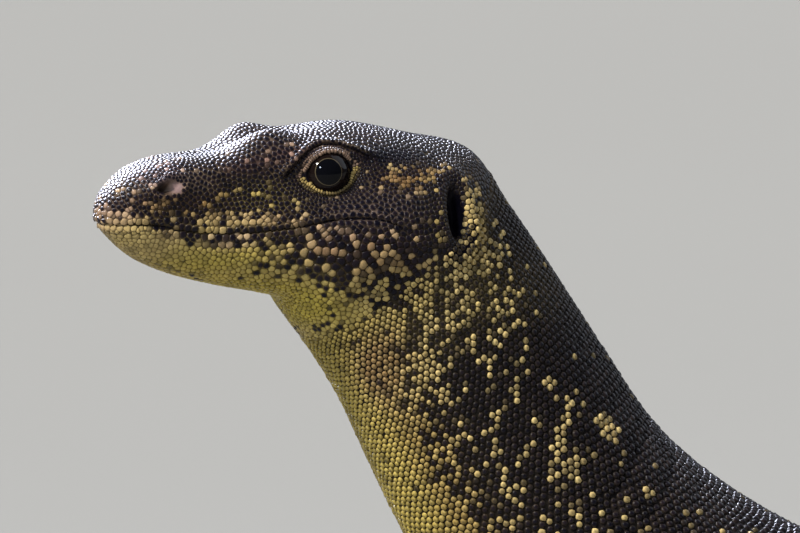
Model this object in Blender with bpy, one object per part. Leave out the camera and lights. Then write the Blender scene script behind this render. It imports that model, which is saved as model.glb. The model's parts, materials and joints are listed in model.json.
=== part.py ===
"""Water monitor lizard as a life-size still model, standing with its neck raised and its head turned left.

Metres, +Z up. The lizard faces +X and its left side is +Y. The body is first drawn straight: b is the
distance back from the snout tip, y goes to the left and z is the height above the floor. place() then bends it
along the plan line.
"""

import math

import bmesh
import bpy
import numpy as np
from mathutils import Vector

MM = 0.001
GAP = 0.3 * MM
FLOOR = 0.0

# Ribs: where the top outline and the low outline are, how far back and how high, then the half width, the
# height of the widest place as a share of the rib, and the roundness powers of the upper and the lower half.
# Millimetres.
RIBS = {
    "snout": (0, 275.6, 0, 258.2, 9.6, 0.45, 2.4, 2.2),
    "nostril": (20, 282.3, 20, 247.9, 12.0, 0.47, 2.8, 2.1),
    "loreal": (39, 283.6, 38.4, 242.2, 15.2, 0.43, 2.8, 2.1),
    "brow": (57, 287.2, 51.5, 239.2, 20.0, 0.43, 2.6, 2.1),
    "temple": (80, 289.2, 59.5, 236.6, 25.0, 0.42, 2.2, 2.1),
    "ear": (105, 283.8, 63.2, 231.4, 27.2, 0.46, 2.2, 2.1),
    "occiput": (121.8, 279.2, 66.3, 226.7, 27.4, 0.5, 2.1, 2.0),
    "nape": (135.6, 262.0, 72.0, 219.6, 27.6, 0.5, 2.0, 2.0),
    "neck_upper": (148.4, 244.0, 81.8, 204.5, 28.4, 0.5, 2.0, 2.0),
    "neck_middle": (166, 217.4, 91.6, 185.2, 30, 0.5, 2.0, 2.0),
    "neck_lower": (184.4, 190.4, 103.0, 163.3, 33, 0.5, 2.0, 2.0),
    "shoulder": (213.5, 165.8, 122.8, 131, 39, 0.5, 2.0, 2.0),
    "chest": (262, 145.0, 176, 80, 46, 0.48, 2.1, 2.1),
    "flank": (330, 140, 268, 50, 54, 0.45, 2.1, 2.3),
    "belly": (400, 135, 365, 41, 60, 0.42, 2.1, 2.4),
    "loin": (480, 125.5, 462, 35, 55, 0.43, 2.1, 2.3),
    "pelvis": (550, 112, 545, 29, 41, 0.46, 2.1, 2.1),
    "vent": (598, 102, 598, 24, 34, 0.47, 2.0, 2.1),
    "tail_root": (665, 85, 665, 11, 28, 0.46, 1.9, 2.1),
    "tail_rest": (735, 67, 735, -1.8, 23, 0.43, 1.8, 2.1),
    "tail_thick": (850, 51.5, 850, -2.0, 17.4, 0.4, 1.6, 2.1),
    "tail_middle": (1030, 38.5, 1030, -1.7, 11.8, 0.38, 1.5, 2.0),
    "tail_thin": (1260, 24.5, 1260, -1.5, 6.9, 0.36, 1.5, 2.0),
    "tail_end": (1480, 10.5, 1480, -1.0, 3.3, 0.36, 1.6, 2.0),
    "tail_tip": (1566, 4.6, 1566, -0.6, 1.5, 0.4, 2.0, 2.0),
}
RIB_NAMES = list(RIBS)
RIB_ROWS = np.array(list(RIBS.values()), float)
SNOUT_ROUND, SNOUT_POWER = 14.0, 2.2
SNOUT_START, SNOUT_CROWDING = 0.35, 1.5  # where the head's first ring is, and how its rings crowd toward it

# Plan line: how far back, and the way the body faces there in degrees left of +X. Millimetres.
PLAN = np.array([
    (0, 24), (118, 24), (150, 15), (190, 4), (230, -1), (350, -3), (480, 1), (600, 6),
    (760, 13), (950, 9), (1130, -9), (1330, -26), (1600, -36),
], float)

# Sculpted forms of the head: a centre, how far the form reaches and how far it moves the surface, each as
# back, sideways and up, on both sides alike. Millimetres.
HEAD_FORMS = {
    "brow ridge": ((50.5, 9.5, 287), (10, 6.5, 8), (0, 0.3, 4.7)),
    "brow edge": ((70, 17, 283), (12, 4.5, 5), (0, 1.8, -0.3)),
    "hollow of the crown": ((62, 0, 289), (12, 8, 9), (0, 0, -1.4)),
    "hollow of the snout": ((30, 0, 283), (12, 5, 6), (0, 0, -1.0)),
    "canthal ridge": ((40, 13, 279), (12, 4, 4), (0, 1.0, 0.9)),
    "nostril swelling": ((17, 11, 274), (7, 5, 6), (0, 1.3, 0.9)),
    "loreal hollow": ((43, 18, 270), (11, 8, 6), (0, -1.4, 0)),
    "orbit": ((70.5, 22, 275), (11, 9, 8), (0, -4.6, 0)),
    "cheek": ((90, 27, 256), (16, 10, 12), (0, 2.2, 0)),
    "temple hollow": ((89, 23, 275), (13, 8, 7), (0, -0.8, 0)),
}

EYE_AT, EYE_RADIUS = (69.0, 13.3, 275.6), 8.0
EAR_AT, EAR_REACH = (108.4, 29.5, 262.0), (3.6, 5.6, 8.2)
NOSTRIL_AT, NOSTRIL_REACH = (18.5, 13.6, 274.6), (3.4, 2.2, 1.9)
# The mouth line in the middle plane, then the way the jaw's cut runs down to the throat. Millimetres.
MOUTH = [
    (-5, 262.8), (12, 263.4), (27, 260.4), (39, 259.6), (54, 260.6), (72, 263.2), (84, 261.6), (90, 258.6),
]
JAW_BACK = [(64, 229), (62, 215)]
JAW_FRONT = [(-5, 215)]
JAW_BLOCK_REACH = 60.0  # sideways, past the widest part of the head

# Where the length of the body is divided: a rib's name and a share of the way to the next one.
BODY_NODES = [
    ("head", ("snout", 0.0), ("occiput", 0.6), 26, 24),
    ("neck_upper", ("occiput", 0.6), ("neck_middle", 0.0), 22, 5),
    ("neck_lower", ("neck_middle", 0.0), ("shoulder", 0.0), 22, 4),
    ("shoulders", ("shoulder", 0.0), ("flank", 0.0), 22, 5),
    ("trunk_front", ("flank", 0.0), ("belly", 0.5), 22, 4),
    ("trunk_rear", ("belly", 0.5), ("pelvis", 0.0), 22, 4),
    ("pelvis", ("pelvis", 0.0), ("tail_root", 0.0), 22, 4),
    ("tail_1", ("tail_root", 0.0), ("tail_thick", 0.0), 16, 5),
    ("tail_2", ("tail_thick", 0.0), ("tail_middle", 0.0), 16, 5),
    ("tail_3", ("tail_middle", 0.0), ("tail_middle", 0.6), 14, 4),
    ("tail_4", ("tail_middle", 0.6), ("tail_thin", 0.3), 12, 4),
    ("tail_5", ("tail_thin", 0.3), ("tail_end", 0.0), 12, 4),
    ("tail_6", ("tail_end", 0.0), ("tail_tip", 0.0), 10, 3),
]

# Legs: points of the middle line as back, left and up, then the half width and half thickness. Millimetres.
FORE_LEFT = [
    (200, 18, 106, 20, 19), (206, 44, 100, 19.5, 19), (216, 63, 88, 16, 16), (223, 80, 72, 13, 13),
    (214, 90, 50, 13.5, 12.5), (201, 97, 26, 9, 9.5), (190, 101, 10, 11.5, 8), (178, 104, 4.7, 14.5, 6.3),
    (166, 107, 3.8, 12, 5.0),
]
FORE_RIGHT = [
    (204, 18, 104, 20, 19), (214, 44, 96, 19.5, 19), (230, 62, 84, 16, 16), (243, 78, 70, 13, 13),
    (240, 88, 48, 13.5, 12.5), (232, 97, 25, 9, 9.5), (222, 103, 10, 11.5, 8), (211, 108, 4.7, 14.5, 6.3),
    (200, 113, 3.8, 12, 5.0),
]
HIND_LEFT = [
    (548, 12, 72, 23, 22), (545, 40, 70, 22.5, 21), (532, 66, 68, 20, 19), (517, 92, 64, 15.5, 15),
    (532, 108, 44, 16, 14.5), (552, 120, 22, 10, 10), (548, 128, 9, 12.5, 8), (533, 135, 4.8, 15, 6.5),
    (518, 141, 3.8, 13, 5.0),
]
HIND_RIGHT = [
    (552, 12, 70, 23, 22), (556, 40, 68, 22.5, 21), (552, 66, 66, 20, 19), (544, 92, 62, 15.5, 15),
    (564, 106, 42, 16, 14.5), (590, 116, 22, 10, 10), (590, 124, 9, 12.5, 8), (576, 134, 4.8, 15, 6.5),
    (562, 143, 3.8, 13, 5.0),
]
LEGS = {  # name: side (+1 left), its line, the toes' lengths, and the angle of each toe from the foot's line
    "fore_left": (1, FORE_LEFT, (17, 25, 30, 29, 20), (-46, -21, 2, 24, 52)),
    "fore_right": (-1, FORE_RIGHT, (17, 25, 30, 29, 20), (-46, -21, 2, 24, 52)),
    "hind_left": (1, HIND_LEFT, (18, 27, 36, 43, 27), (-44, -24, -6, 13, 50)),
    "hind_right": (-1, HIND_RIGHT, (18, 27, 36, 43, 27), (-44, -24, -6, 13, 50)),
}
LEG_SIDES, TOE_SIDES, CLAW_SIDES = 12, 6, 5
LEG_FINE = 8  # steps of a leg's smooth line from one of its points to the next
LEG_STEP = 20.0  # millimetres from one of its points to the next, about
UPPER_END, LOWER_END = 3.5, 5.4  # where the leg's line is divided, counted in its points
# Toes: their radii from inside the foot to the tip, how far apart they start, how far back as shares of the
# foot's front part, how flat they are, and their middle lines: the first point in millimetres, the others as
# shares of the toe's length, each with its height.
TOE_RADII = (4.6, 4.2, 3.6, 3.0)
TOE_SPACING, TOE_SETBACK, TOE_FAN_SETBACK, OUTER_TOE_SETBACK = 4.6, 0.28, 0.1, 0.95
TOE_FLATNESS = 0.94
TOE_ROOT, TOE_LINE = (-7, 5.0), ((0.34, 5.6), (0.75, 2.8), (1.0, 2.3))
CLAW_LENGTH, CLAW_RADIUS, CLAW_POINT, CLAW_ARCH, CLAW_DROP = 13.0, 2.2, 0.3, 2.0, 1.5
CLAW_TAPER, CLAW_FLATNESS, CLAW_RINGS = 0.6, 0.72, 4

COLOURS = {
    "skin_dark": (0.045, 0.038, 0.040),
    "skin_throat": (0.42, 0.34, 0.17),
    "eye": (0.030, 0.018, 0.010),
    "claw": (0.050, 0.042, 0.036),
}


def smooth(knots, rows, at):
    """Rows of values read along a smooth curve through them."""
    slopes = np.gradient(rows, knots, axis=0)
    i = np.clip(np.searchsorted(knots, at, side="right") - 1, 0, len(knots) - 2)
    step = knots[i + 1] - knots[i]
    u = ((at - knots[i]) / step)[:, None]
    step = step[:, None]
    return (
        rows[i] * (2 * u**3 - 3 * u**2 + 1) + slopes[i] * step * (u**3 - 2 * u**2 + u)
        + rows[i + 1] * (3 * u**2 - 2 * u**3) + slopes[i + 1] * step * (u**3 - u**2)
    )


def rib_lengths():
    """The distance along the body of each rib, halfway between its top and its low outline."""
    middles = (RIB_ROWS[:, 0:2] + RIB_ROWS[:, 2:4]) / 2
    return np.concatenate([[0], np.cumsum(np.linalg.norm(np.diff(middles, axis=0), axis=1))])


RIB_LENGTHS = rib_lengths()


def length_at(cut):
    """The distance along the body of a cut given as a rib's name and a share of the way to the next."""
    i = RIB_NAMES.index(cut[0])
    ahead = RIB_LENGTHS[i + 1] - RIB_LENGTHS[i] if cut[1] else 0
    return RIB_LENGTHS[i] + cut[1] * ahead


PLAN_STEP, PLAN_EASE = 2.0, 10
PLAN_BACK = np.arange(-40, 1640, PLAN_STEP)
EASE_COUNT = 2 * PLAN_EASE + 1
SHARP_TURN = np.radians(np.interp(PLAN_BACK, PLAN[:, 0], PLAN[:, 1]))
PLAN_TURN = np.convolve(np.pad(SHARP_TURN, PLAN_EASE, "edge"), np.full(EASE_COUNT, 1 / EASE_COUNT), "valid")
PLAN_LINE = -np.cumsum(np.stack([np.cos(PLAN_TURN), np.sin(PLAN_TURN)], axis=1) * PLAN_STEP, axis=0)


def place(points, held=None):
    """Straight-body points in millimetres, bent along the plan line or held rigid at one place on it.

    They come back in metres.
    """
    points = np.asarray(points, float).reshape(-1, 3)
    root = points[:, 0] if held is None else np.full(len(points), float(held))
    turn = np.interp(root, PLAN_BACK, PLAN_TURN)
    ahead, aside = root - points[:, 0], points[:, 1]
    x = np.interp(root, PLAN_BACK, PLAN_LINE[:, 0]) + ahead * np.cos(turn) - aside * np.sin(turn)
    y = np.interp(root, PLAN_BACK, PLAN_LINE[:, 1]) + ahead * np.sin(turn) + aside * np.cos(turn)
    return np.stack([x, y, points[:, 2]], axis=1) * MM


def sculpt(points):
    """The head's forms, added to the straight body."""
    side = np.where(points[:, 1] < 0, -1.0, 1.0)
    both = points * np.stack([np.ones_like(side), side, np.ones_like(side)], axis=1)
    moved = both.copy()
    for centre, reach, lift in HEAD_FORMS.values():
        share = np.exp(-(((both - np.array(centre)) / np.array(reach)) ** 2).sum(axis=1))
        moved += share[:, None] * np.array(lift, float)
    middle = np.clip(np.abs(points[:, 1]) / 1.0, 0, 1)
    moved[:, 1] = both[:, 1] + (moved[:, 1] - both[:, 1]) * middle
    moved[:, 1] *= side
    return moved


def body_points(lengths, sides):
    """Rings of the straight body at distances along it, as an array of rings by points by 3."""
    rows = smooth(RIB_LENGTHS, RIB_ROWS, np.asarray(lengths, float))
    angles = np.arange(sides) * 2 * math.pi / sides
    upper = np.cos(angles) >= 0
    rings = []
    for row in rows:
        top, low = np.array([row[0], row[1]]), np.array([row[2], row[3]])
        widest = low + (top - low) * row[5]
        power = np.where(upper, row[6], row[7])
        along = np.sign(np.cos(angles)) * np.abs(np.cos(angles)) ** (2 / power)
        across = np.sign(np.sin(angles)) * np.abs(np.sin(angles)) ** (2 / power)
        reach = np.where(upper[:, None], top - widest, widest - low)
        middle = widest + along[:, None] * reach
        ring = np.stack([middle[:, 0], across * row[4], middle[:, 1]], axis=1)
        back = max(row[0], 0.0)
        if back < SNOUT_ROUND:
            shrink = max(1 - (1 - back / SNOUT_ROUND) ** SNOUT_POWER, 0.0) ** (1 / SNOUT_POWER)
            centre = np.array([back, 0, (row[1] + row[3]) / 2])
            ring = centre + (ring - centre) * np.array([1, shrink, shrink])
        rings.append(ring)
    flat = sculpt(np.concatenate(rings))
    flat[:, 2] = np.maximum(flat[:, 2], FLOOR)
    return flat.reshape(len(rows), sides, 3)


def mesh_object(name, points, faces, material):
    mesh = bpy.data.meshes.new(name)
    mesh.from_pydata([Vector(p) for p in points], [], faces)
    work = bmesh.new()
    work.from_mesh(mesh)
    bmesh.ops.triangulate(work, faces=work.faces)
    bmesh.ops.recalc_face_normals(work, faces=work.faces)
    work.to_mesh(mesh)
    work.free()
    mesh.shade_smooth()
    mesh.set_sharp_from_angle(angle=math.radians(50))
    mesh.materials.append(material)
    node = bpy.data.objects.new(name, mesh)
    bpy.context.scene.collection.objects.link(node)
    return node


def ring_faces(count, sides):
    """Faces between rings of points, then round two more points that close the first ring and the last."""
    first, last, end = count * sides, count * sides + 1, (count - 1) * sides
    faces = []
    for i in range(sides):
        j = (i + 1) % sides
        for row in range(0, end, sides):
            faces.append((row + i, row + j, row + sides + j, row + sides + i))
        faces += [(first, j, i), (last, end + i, end + j)]
    return faces


def tube(name, rings, material):
    """A closed solid through rings of points, its two ends closed by fans round their middles."""
    points = [*rings.reshape(-1, 3), rings[0].mean(axis=0), rings[-1].mean(axis=0)]
    return mesh_object(name, points, ring_faces(*rings.shape[:2]), material)


def material(name, colour, roughness):
    made = bpy.data.materials.new(name)
    made.use_nodes = True
    shader = made.node_tree.nodes["Principled BSDF"]
    shader.inputs["Base Color"].default_value = (*colour, 1)
    shader.inputs["Roughness"].default_value = roughness
    return made


def cutter(node):
    node.hide_render = True
    node.display_type = "WIRE"
    return node


def boolean(node, other, operation):
    modifier = node.modifiers.new(operation.title() + " " + other.name, "BOOLEAN")
    modifier.operation = operation
    modifier.solver = "EXACT"
    modifier.object = other


def ellipsoid(name, centre, reach, skin, segments=20, rings=12):
    """An ellipsoid of the straight body, centre and half sizes in millimetres."""
    turns = np.arange(segments) * 2 * math.pi / segments
    rows = []
    for k in range(1, rings):
        tilt = math.pi * k / rings
        row = [(math.sin(tilt) * math.cos(a), math.sin(tilt) * math.sin(a), math.cos(tilt)) for a in turns]
        rows.append(np.array(row) * reach + centre)
    half_height = np.array((0, 0, reach[2]))
    points = np.concatenate([*rows, [centre + half_height, centre - half_height]])
    return mesh_object(name, place(points), ring_faces(rings - 1, segments), skin)


def jaw_block(name, gap, skin):
    """A block over the lower jaw: its upper face follows the mouth line, a gap smaller there and behind."""
    corner = (MOUTH[-1][0] - 1.6 * gap, MOUTH[-1][1] - 0.3 * gap)
    line = [(b, z - gap) for b, z in MOUTH[:-1]] + [corner]
    line += [(b - 1.3 * gap, z) for b, z in JAW_BACK + JAW_FRONT]
    sides = [[(b, y, z) for b, z in line] for y in (-JAW_BLOCK_REACH, JAW_BLOCK_REACH)]
    count = len(line)
    faces = [tuple(range(count)), tuple(range(2 * count - 1, count - 1, -1))]
    faces += [(i, count + i, count + (i + 1) % count, (i + 1) % count) for i in range(count)]
    return cutter(mesh_object(name, place(sides[0] + sides[1]), faces, skin))


def build_body(skin):
    """The length of the body, one solid for each division, a gap apart."""
    nodes = {}
    for name, start, end, sides, rings in BODY_NODES:
        first, last = length_at(start), length_at(end)
        half_gap = GAP / MM / 2
        at = np.linspace(first + half_gap, last - half_gap, rings)
        if name == "head":
            share = np.linspace(0, 1, rings) ** SNOUT_CROWDING
            at = SNOUT_START + (last - half_gap - SNOUT_START) * share
        if name == "tail_6":
            at[-1] = last
        nodes[name] = tube(name, place(body_points(at, sides)).reshape(rings, sides, 3), skin)
    return nodes


def finish_head(head, skin, throat, eye_finish):
    """Parts the lower jaw from the head, and opens the eye sockets, the ears and the nostrils."""
    jaw = head.copy()
    jaw.data = head.data.copy()
    jaw.name = "lower_jaw"
    jaw.data.materials.clear()
    jaw.data.materials.append(throat)
    bpy.context.scene.collection.objects.link(jaw)
    boolean(head, jaw_block("jaw_space", 0, skin), "DIFFERENCE")
    boolean(jaw, jaw_block("jaw_shape", GAP / MM, skin), "INTERSECT")
    for side, word in ((1, "left"), (-1, "right")):
        eye_at, ear_at, nostril_at = (np.array(at) * (1, side, 1) for at in (EYE_AT, EAR_AT, NOSTRIL_AT))
        ellipsoid("eye_" + word, eye_at, np.full(3, EYE_RADIUS), eye_finish, 14, 9)
        socket = ellipsoid("socket_" + word, eye_at, np.full(3, EYE_RADIUS + GAP / MM), skin, 14, 9)
        ear = ellipsoid("ear_" + word, ear_at, np.array(EAR_REACH), skin, 12, 8)
        nostril = ellipsoid("nostril_" + word, nostril_at, np.array(NOSTRIL_REACH), skin, 10, 6)
        for hollow in (socket, ear, nostril):
            boolean(head, cutter(hollow), "DIFFERENCE")


def line_rings(points, wide, thick, sides, end_side, start_way=None):
    """Rings round a line: wide lies across it, level at its end, and thick stands on that."""
    tangents = np.gradient(points, axis=0)
    if start_way is not None:
        tangents[0] = start_way
    tangents /= np.linalg.norm(tangents, axis=1)[:, None]
    across = np.array(end_side, float)
    angles = np.arange(sides) * 2 * math.pi / sides
    rings = []
    for k in range(len(points) - 1, -1, -1):
        across = across - tangents[k] * (across @ tangents[k])
        across /= np.linalg.norm(across)
        up = np.cross(tangents[k], across)
        ring = np.outer(np.cos(angles) * wide[k], across) + np.outer(np.sin(angles) * thick[k], up)
        rings.append(points[k] + ring)
    rings = np.array(rings[::-1])
    rings[:, :, 2] = np.maximum(rings[:, :, 2], FLOOR)
    return rings


def leg_rings(side, line, first, last, count):
    """Rings of a leg between two of its points, in the straight body's millimetres."""
    rows = np.array(line, float) * (1, side, 1, 1, 1)
    knots = np.arange(len(rows), dtype=float)
    fine = smooth(knots, rows, np.linspace(0, len(rows) - 1, LEG_FINE * (len(rows) - 1) + 1))
    level = np.cross(fine[-1, :3] - fine[-4, :3], (0, 0, 1))
    rings = line_rings(fine[:, :3], fine[:, 3], fine[:, 4], LEG_SIDES, level)
    at = np.linspace(first, last, count) * LEG_FINE
    low = np.clip(np.floor(at).astype(int), 0, len(rings) - 2)
    share = (at - low)[:, None, None]
    return rings[low] * (1 - share) + rings[low + 1] * share


def toe_line(front, heading, length):
    """A toe's middle line from inside the foot: over the knuckle and down to the floor."""
    ahead = np.array([-math.cos(heading), math.sin(heading), 0])
    steps = (TOE_ROOT, *((length * share, height) for share, height in TOE_LINE))
    return np.array([front + ahead * reach + (0, 0, height - front[2]) for reach, height in steps]), ahead


def claw_rings(toe, ahead, across):
    """A curved claw from a gap past the end of its toe to its point near the floor."""
    way = (toe[-1] - toe[-2]) / np.linalg.norm(toe[-1] - toe[-2])
    shares = np.linspace(0, 1, CLAW_RINGS)
    points = toe[-1] + way * GAP / MM + np.outer(CLAW_LENGTH * shares, ahead)
    points[:, 2] += CLAW_ARCH * np.sin(math.pi * shares) - CLAW_DROP * shares**2
    radii = CLAW_RADIUS * (1 - shares) ** CLAW_TAPER + CLAW_POINT
    return line_rings(points, radii * CLAW_FLATNESS, radii, CLAW_SIDES, across, way)


def build_leg(name, skin, claw_finish, guard):
    """A leg in three lengths, its toes joined to its foot, and its five claws."""
    side, line, lengths, spread = LEGS[name]
    root = line[0][0]
    step = GAP / MM / 2 / LEG_STEP
    cuts = (("upper_leg_", 0, UPPER_END - step, 7), ("lower_leg_", UPPER_END + step, LOWER_END - step, 6))
    for word, first, last, count in cuts:
        rings = leg_rings(side, line, first, last, count)
        node = tube(word + name, place(rings, root).reshape(rings.shape), skin)
        if word == "upper_leg_":
            boolean(node, guard, "DIFFERENCE")
    rings = leg_rings(side, line, LOWER_END + step, len(line) - 1, 7)
    foot = tube("foot_" + name, place(rings, root).reshape(rings.shape), skin)
    front, palm = (np.array(line[k][:3], float) * (1, side, 1) for k in (-1, -2))
    ahead = front - palm
    heading = math.atan2(ahead[1], -ahead[0])
    across = np.array([math.sin(heading), math.cos(heading), 0])
    for k, (length, turn) in enumerate(zip(lengths, spread)):
        aside = across * side * (k - 2) * TOE_SPACING
        setback = OUTER_TOE_SETBACK if k == 4 else TOE_SETBACK + TOE_FAN_SETBACK * abs(k - 2)
        start = front + aside - ahead * setback
        toe_heading = heading + side * math.radians(turn)
        points, toe_ahead = toe_line(start, toe_heading, length)
        radii = np.array(TOE_RADII)
        toe_across = (math.sin(toe_heading), math.cos(toe_heading), 0)
        toe_rings = line_rings(points, radii, radii * TOE_FLATNESS, TOE_SIDES, toe_across)
        toe = cutter(tube(f"toe_{name}_{k + 1}", place(toe_rings, root).reshape(toe_rings.shape), skin))
        boolean(foot, toe, "UNION")
        tip = claw_rings(points, toe_ahead, toe_across)
        tube(f"claw_{name}_{k + 1}", place(tip, root).reshape(tip.shape), claw_finish)


def trunk_guard(skin):
    """The trunk a gap larger all round, which the legs are cut back from."""
    at = np.linspace(length_at(("neck_lower", 0.0)), length_at(("tail_root", 0.5)), 30)
    rings = body_points(at, 44)
    middles = rings.mean(axis=1, keepdims=True)
    outward = rings - middles
    size = np.linalg.norm(outward, axis=2, keepdims=True)
    rings = middles + outward * (1 + 2 * GAP / MM / size)
    return cutter(tube("trunk_guard", place(rings).reshape(rings.shape), skin))


def centre_on_floor():
    """Puts the middle of the whole model's box over the origin, and the floor at z = 0."""
    graph = bpy.context.evaluated_depsgraph_get()
    shown = [node for node in bpy.context.scene.objects if not node.hide_render]
    corners = np.array([corner for node in shown for corner in node.evaluated_get(graph).bound_box])
    middle = (corners.min(axis=0) + corners.max(axis=0)) / 2
    for node in bpy.context.scene.objects:
        node.location = (-middle[0], -middle[1], 0)


def main():
    for old in list(bpy.data.objects):
        bpy.data.objects.remove(old)
    skin = material("skin_dark", COLOURS["skin_dark"], 0.5)
    throat = material("skin_throat", COLOURS["skin_throat"], 0.55)
    eye_finish = material("eye", COLOURS["eye"], 0.08)
    claw_finish = material("claw", COLOURS["claw"], 0.35)
    nodes = build_body(skin)
    finish_head(nodes["head"], skin, throat, eye_finish)
    guard = trunk_guard(skin)
    for name in LEGS:
        build_leg(name, skin, claw_finish, guard)
    centre_on_floor()


main()
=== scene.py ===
"""Water monitor lizard as a life-size still model: its skin, scales, eyes and claws, and a plain studio.

The body is first drawn straight, in millimetres: how far back from the snout tip, how far to the lizard's
left and how high above the floor. place() bends it along the plan line into the frame, in metres.
"""

import json
import math

import bmesh
import bpy
import numpy as np
from mathutils import Matrix, Vector
from mathutils.bvhtree import BVHTree
from mathutils.kdtree import KDTree

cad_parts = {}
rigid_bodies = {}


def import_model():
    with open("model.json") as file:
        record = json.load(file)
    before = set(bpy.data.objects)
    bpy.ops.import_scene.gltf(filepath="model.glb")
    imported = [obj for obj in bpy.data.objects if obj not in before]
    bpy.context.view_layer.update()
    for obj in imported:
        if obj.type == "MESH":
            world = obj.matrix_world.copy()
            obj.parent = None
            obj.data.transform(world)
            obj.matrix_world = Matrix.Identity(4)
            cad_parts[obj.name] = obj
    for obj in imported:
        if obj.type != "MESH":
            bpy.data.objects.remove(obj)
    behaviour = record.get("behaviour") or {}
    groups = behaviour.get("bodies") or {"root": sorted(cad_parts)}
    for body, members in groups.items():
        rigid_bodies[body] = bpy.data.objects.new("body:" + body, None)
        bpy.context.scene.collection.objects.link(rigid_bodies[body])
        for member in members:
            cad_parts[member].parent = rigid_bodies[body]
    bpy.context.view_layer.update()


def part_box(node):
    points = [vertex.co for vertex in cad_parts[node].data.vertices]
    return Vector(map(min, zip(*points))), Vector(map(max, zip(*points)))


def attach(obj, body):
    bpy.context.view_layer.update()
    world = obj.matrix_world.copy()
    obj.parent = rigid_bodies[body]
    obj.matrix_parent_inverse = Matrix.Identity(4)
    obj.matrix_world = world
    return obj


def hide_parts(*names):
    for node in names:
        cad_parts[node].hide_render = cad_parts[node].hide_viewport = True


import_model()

bl_info = {
    "name": "Water monitor lizard",
    "version": (1, 0, 0),
    "blender": (4, 5, 0),
    "location": "3D View > Sidebar > Lizard",
    "description": "Skin, scales, eyes and claws for a life-size water monitor, with a plain studio",
    "category": "Add Mesh",
}

MM = 0.001
FLOOR = 0.0

# ---------------------------------------------------------------- the body's form

# Ribs: how far back and how high the top and the low outline are, then the half width, the height of the
# widest place as a share of the rib, and the roundness powers of the upper and lower half. Millimetres.
RIBS = {
    "snout": (0, 275.6, 0, 258.2, 9.6, 0.45, 2.4, 2.2),
    "nostril": (20, 282.3, 20, 247.9, 12.0, 0.47, 2.8, 2.1),
    "loreal": (39, 283.6, 38.4, 242.2, 15.2, 0.43, 2.8, 2.1),
    "brow": (57, 287.2, 51.5, 239.2, 20.0, 0.43, 2.6, 2.1),
    "temple": (80, 289.2, 59.5, 236.6, 25.0, 0.42, 2.2, 2.1),
    "ear": (105, 283.8, 63.2, 231.4, 27.2, 0.46, 2.2, 2.1),
    "occiput": (121.8, 279.2, 66.3, 226.7, 27.4, 0.5, 2.1, 2.0),
    "nape": (135.6, 262.0, 72.0, 219.6, 27.6, 0.5, 2.0, 2.0),
    "neck_upper": (148.4, 244.0, 81.8, 204.5, 28.4, 0.5, 2.0, 2.0),
    "neck_middle": (166, 217.4, 91.6, 185.2, 30, 0.5, 2.0, 2.0),
    "neck_lower": (184.4, 190.4, 103.0, 163.3, 33, 0.5, 2.0, 2.0),
    "shoulder": (213.5, 165.8, 122.8, 131, 39, 0.5, 2.0, 2.0),
    "chest": (262, 145.0, 176, 80, 46, 0.48, 2.1, 2.1),
    "flank": (330, 140, 268, 50, 54, 0.45, 2.1, 2.3),
    "belly": (400, 135, 365, 41, 60, 0.42, 2.1, 2.4),
    "loin": (480, 125.5, 462, 35, 55, 0.43, 2.1, 2.3),
    "pelvis": (550, 112, 545, 29, 41, 0.46, 2.1, 2.1),
    "vent": (598, 102, 598, 24, 34, 0.47, 2.0, 2.1),
    "tail_root": (665, 85, 665, 11, 28, 0.46, 1.9, 2.1),
    "tail_rest": (735, 67, 735, -1.8, 23, 0.43, 1.8, 2.1),
    "tail_thick": (850, 51.5, 850, -2.0, 17.4, 0.4, 1.6, 2.1),
    "tail_middle": (1030, 38.5, 1030, -1.7, 11.8, 0.38, 1.5, 2.0),
    "tail_thin": (1260, 24.5, 1260, -1.5, 6.9, 0.36, 1.5, 2.0),
    "tail_end": (1480, 10.5, 1480, -1.0, 3.3, 0.36, 1.6, 2.0),
    "tail_tip": (1566, 4.6, 1566, -0.6, 1.5, 0.4, 2.0, 2.0),
}
RIB_NAMES = list(RIBS)
RIB_ROWS = np.array(list(RIBS.values()), float)
SNOUT_ROUND, SNOUT_POWER = 14.0, 2.2  # how far back the snout's round end reaches, and its roundness power

# Plan line: how far back, and the way the body faces there in degrees left of +X. Millimetres.
PLAN = np.array([
    (0, 24), (118, 24), (150, 15), (190, 4), (230, -1), (350, -3), (480, 1), (600, 6),
    (760, 13), (950, 9), (1130, -9), (1330, -26), (1600, -36),
], float)
PLAN_STEP, PLAN_EASE = 2.0, 10  # the step between the plan line's points, and how many steps ease its bends
UNBEND_ROUNDS, UNBEND_SHARE = 5, 0.8  # how a bent point is sought back on the plan line

# Sculpted forms of the head: a centre, its reach and how far the form moves the surface, each as back,
# sideways and up, on both sides alike. Millimetres.
HEAD_FORMS = {
    "brow ridge": ((50.5, 9.5, 287), (10, 6.5, 8), (0, 0.3, 4.7)),
    "brow edge": ((70, 17, 283), (12, 4.5, 5), (0, 1.8, -0.3)),
    "hollow of the crown": ((62, 0, 289), (12, 8, 9), (0, 0, -1.4)),
    "hollow of the snout": ((30, 0, 283), (12, 5, 6), (0, 0, -1.0)),
    "canthal ridge": ((40, 13, 279), (12, 4, 4), (0, 1.0, 0.9)),
    "nostril swelling": ((17, 11, 274), (7, 5, 6), (0, 1.3, 0.9)),
    "loreal hollow": ((43, 18, 270), (11, 8, 6), (0, -1.4, 0)),
    "orbit": ((70.5, 22, 275), (11, 9, 8), (0, -4.6, 0)),
    "cheek": ((90, 27, 256), (16, 10, 12), (0, 2.2, 0)),
    "temple hollow": ((89, 23, 275), (13, 8, 7), (0, -0.8, 0)),
}

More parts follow.
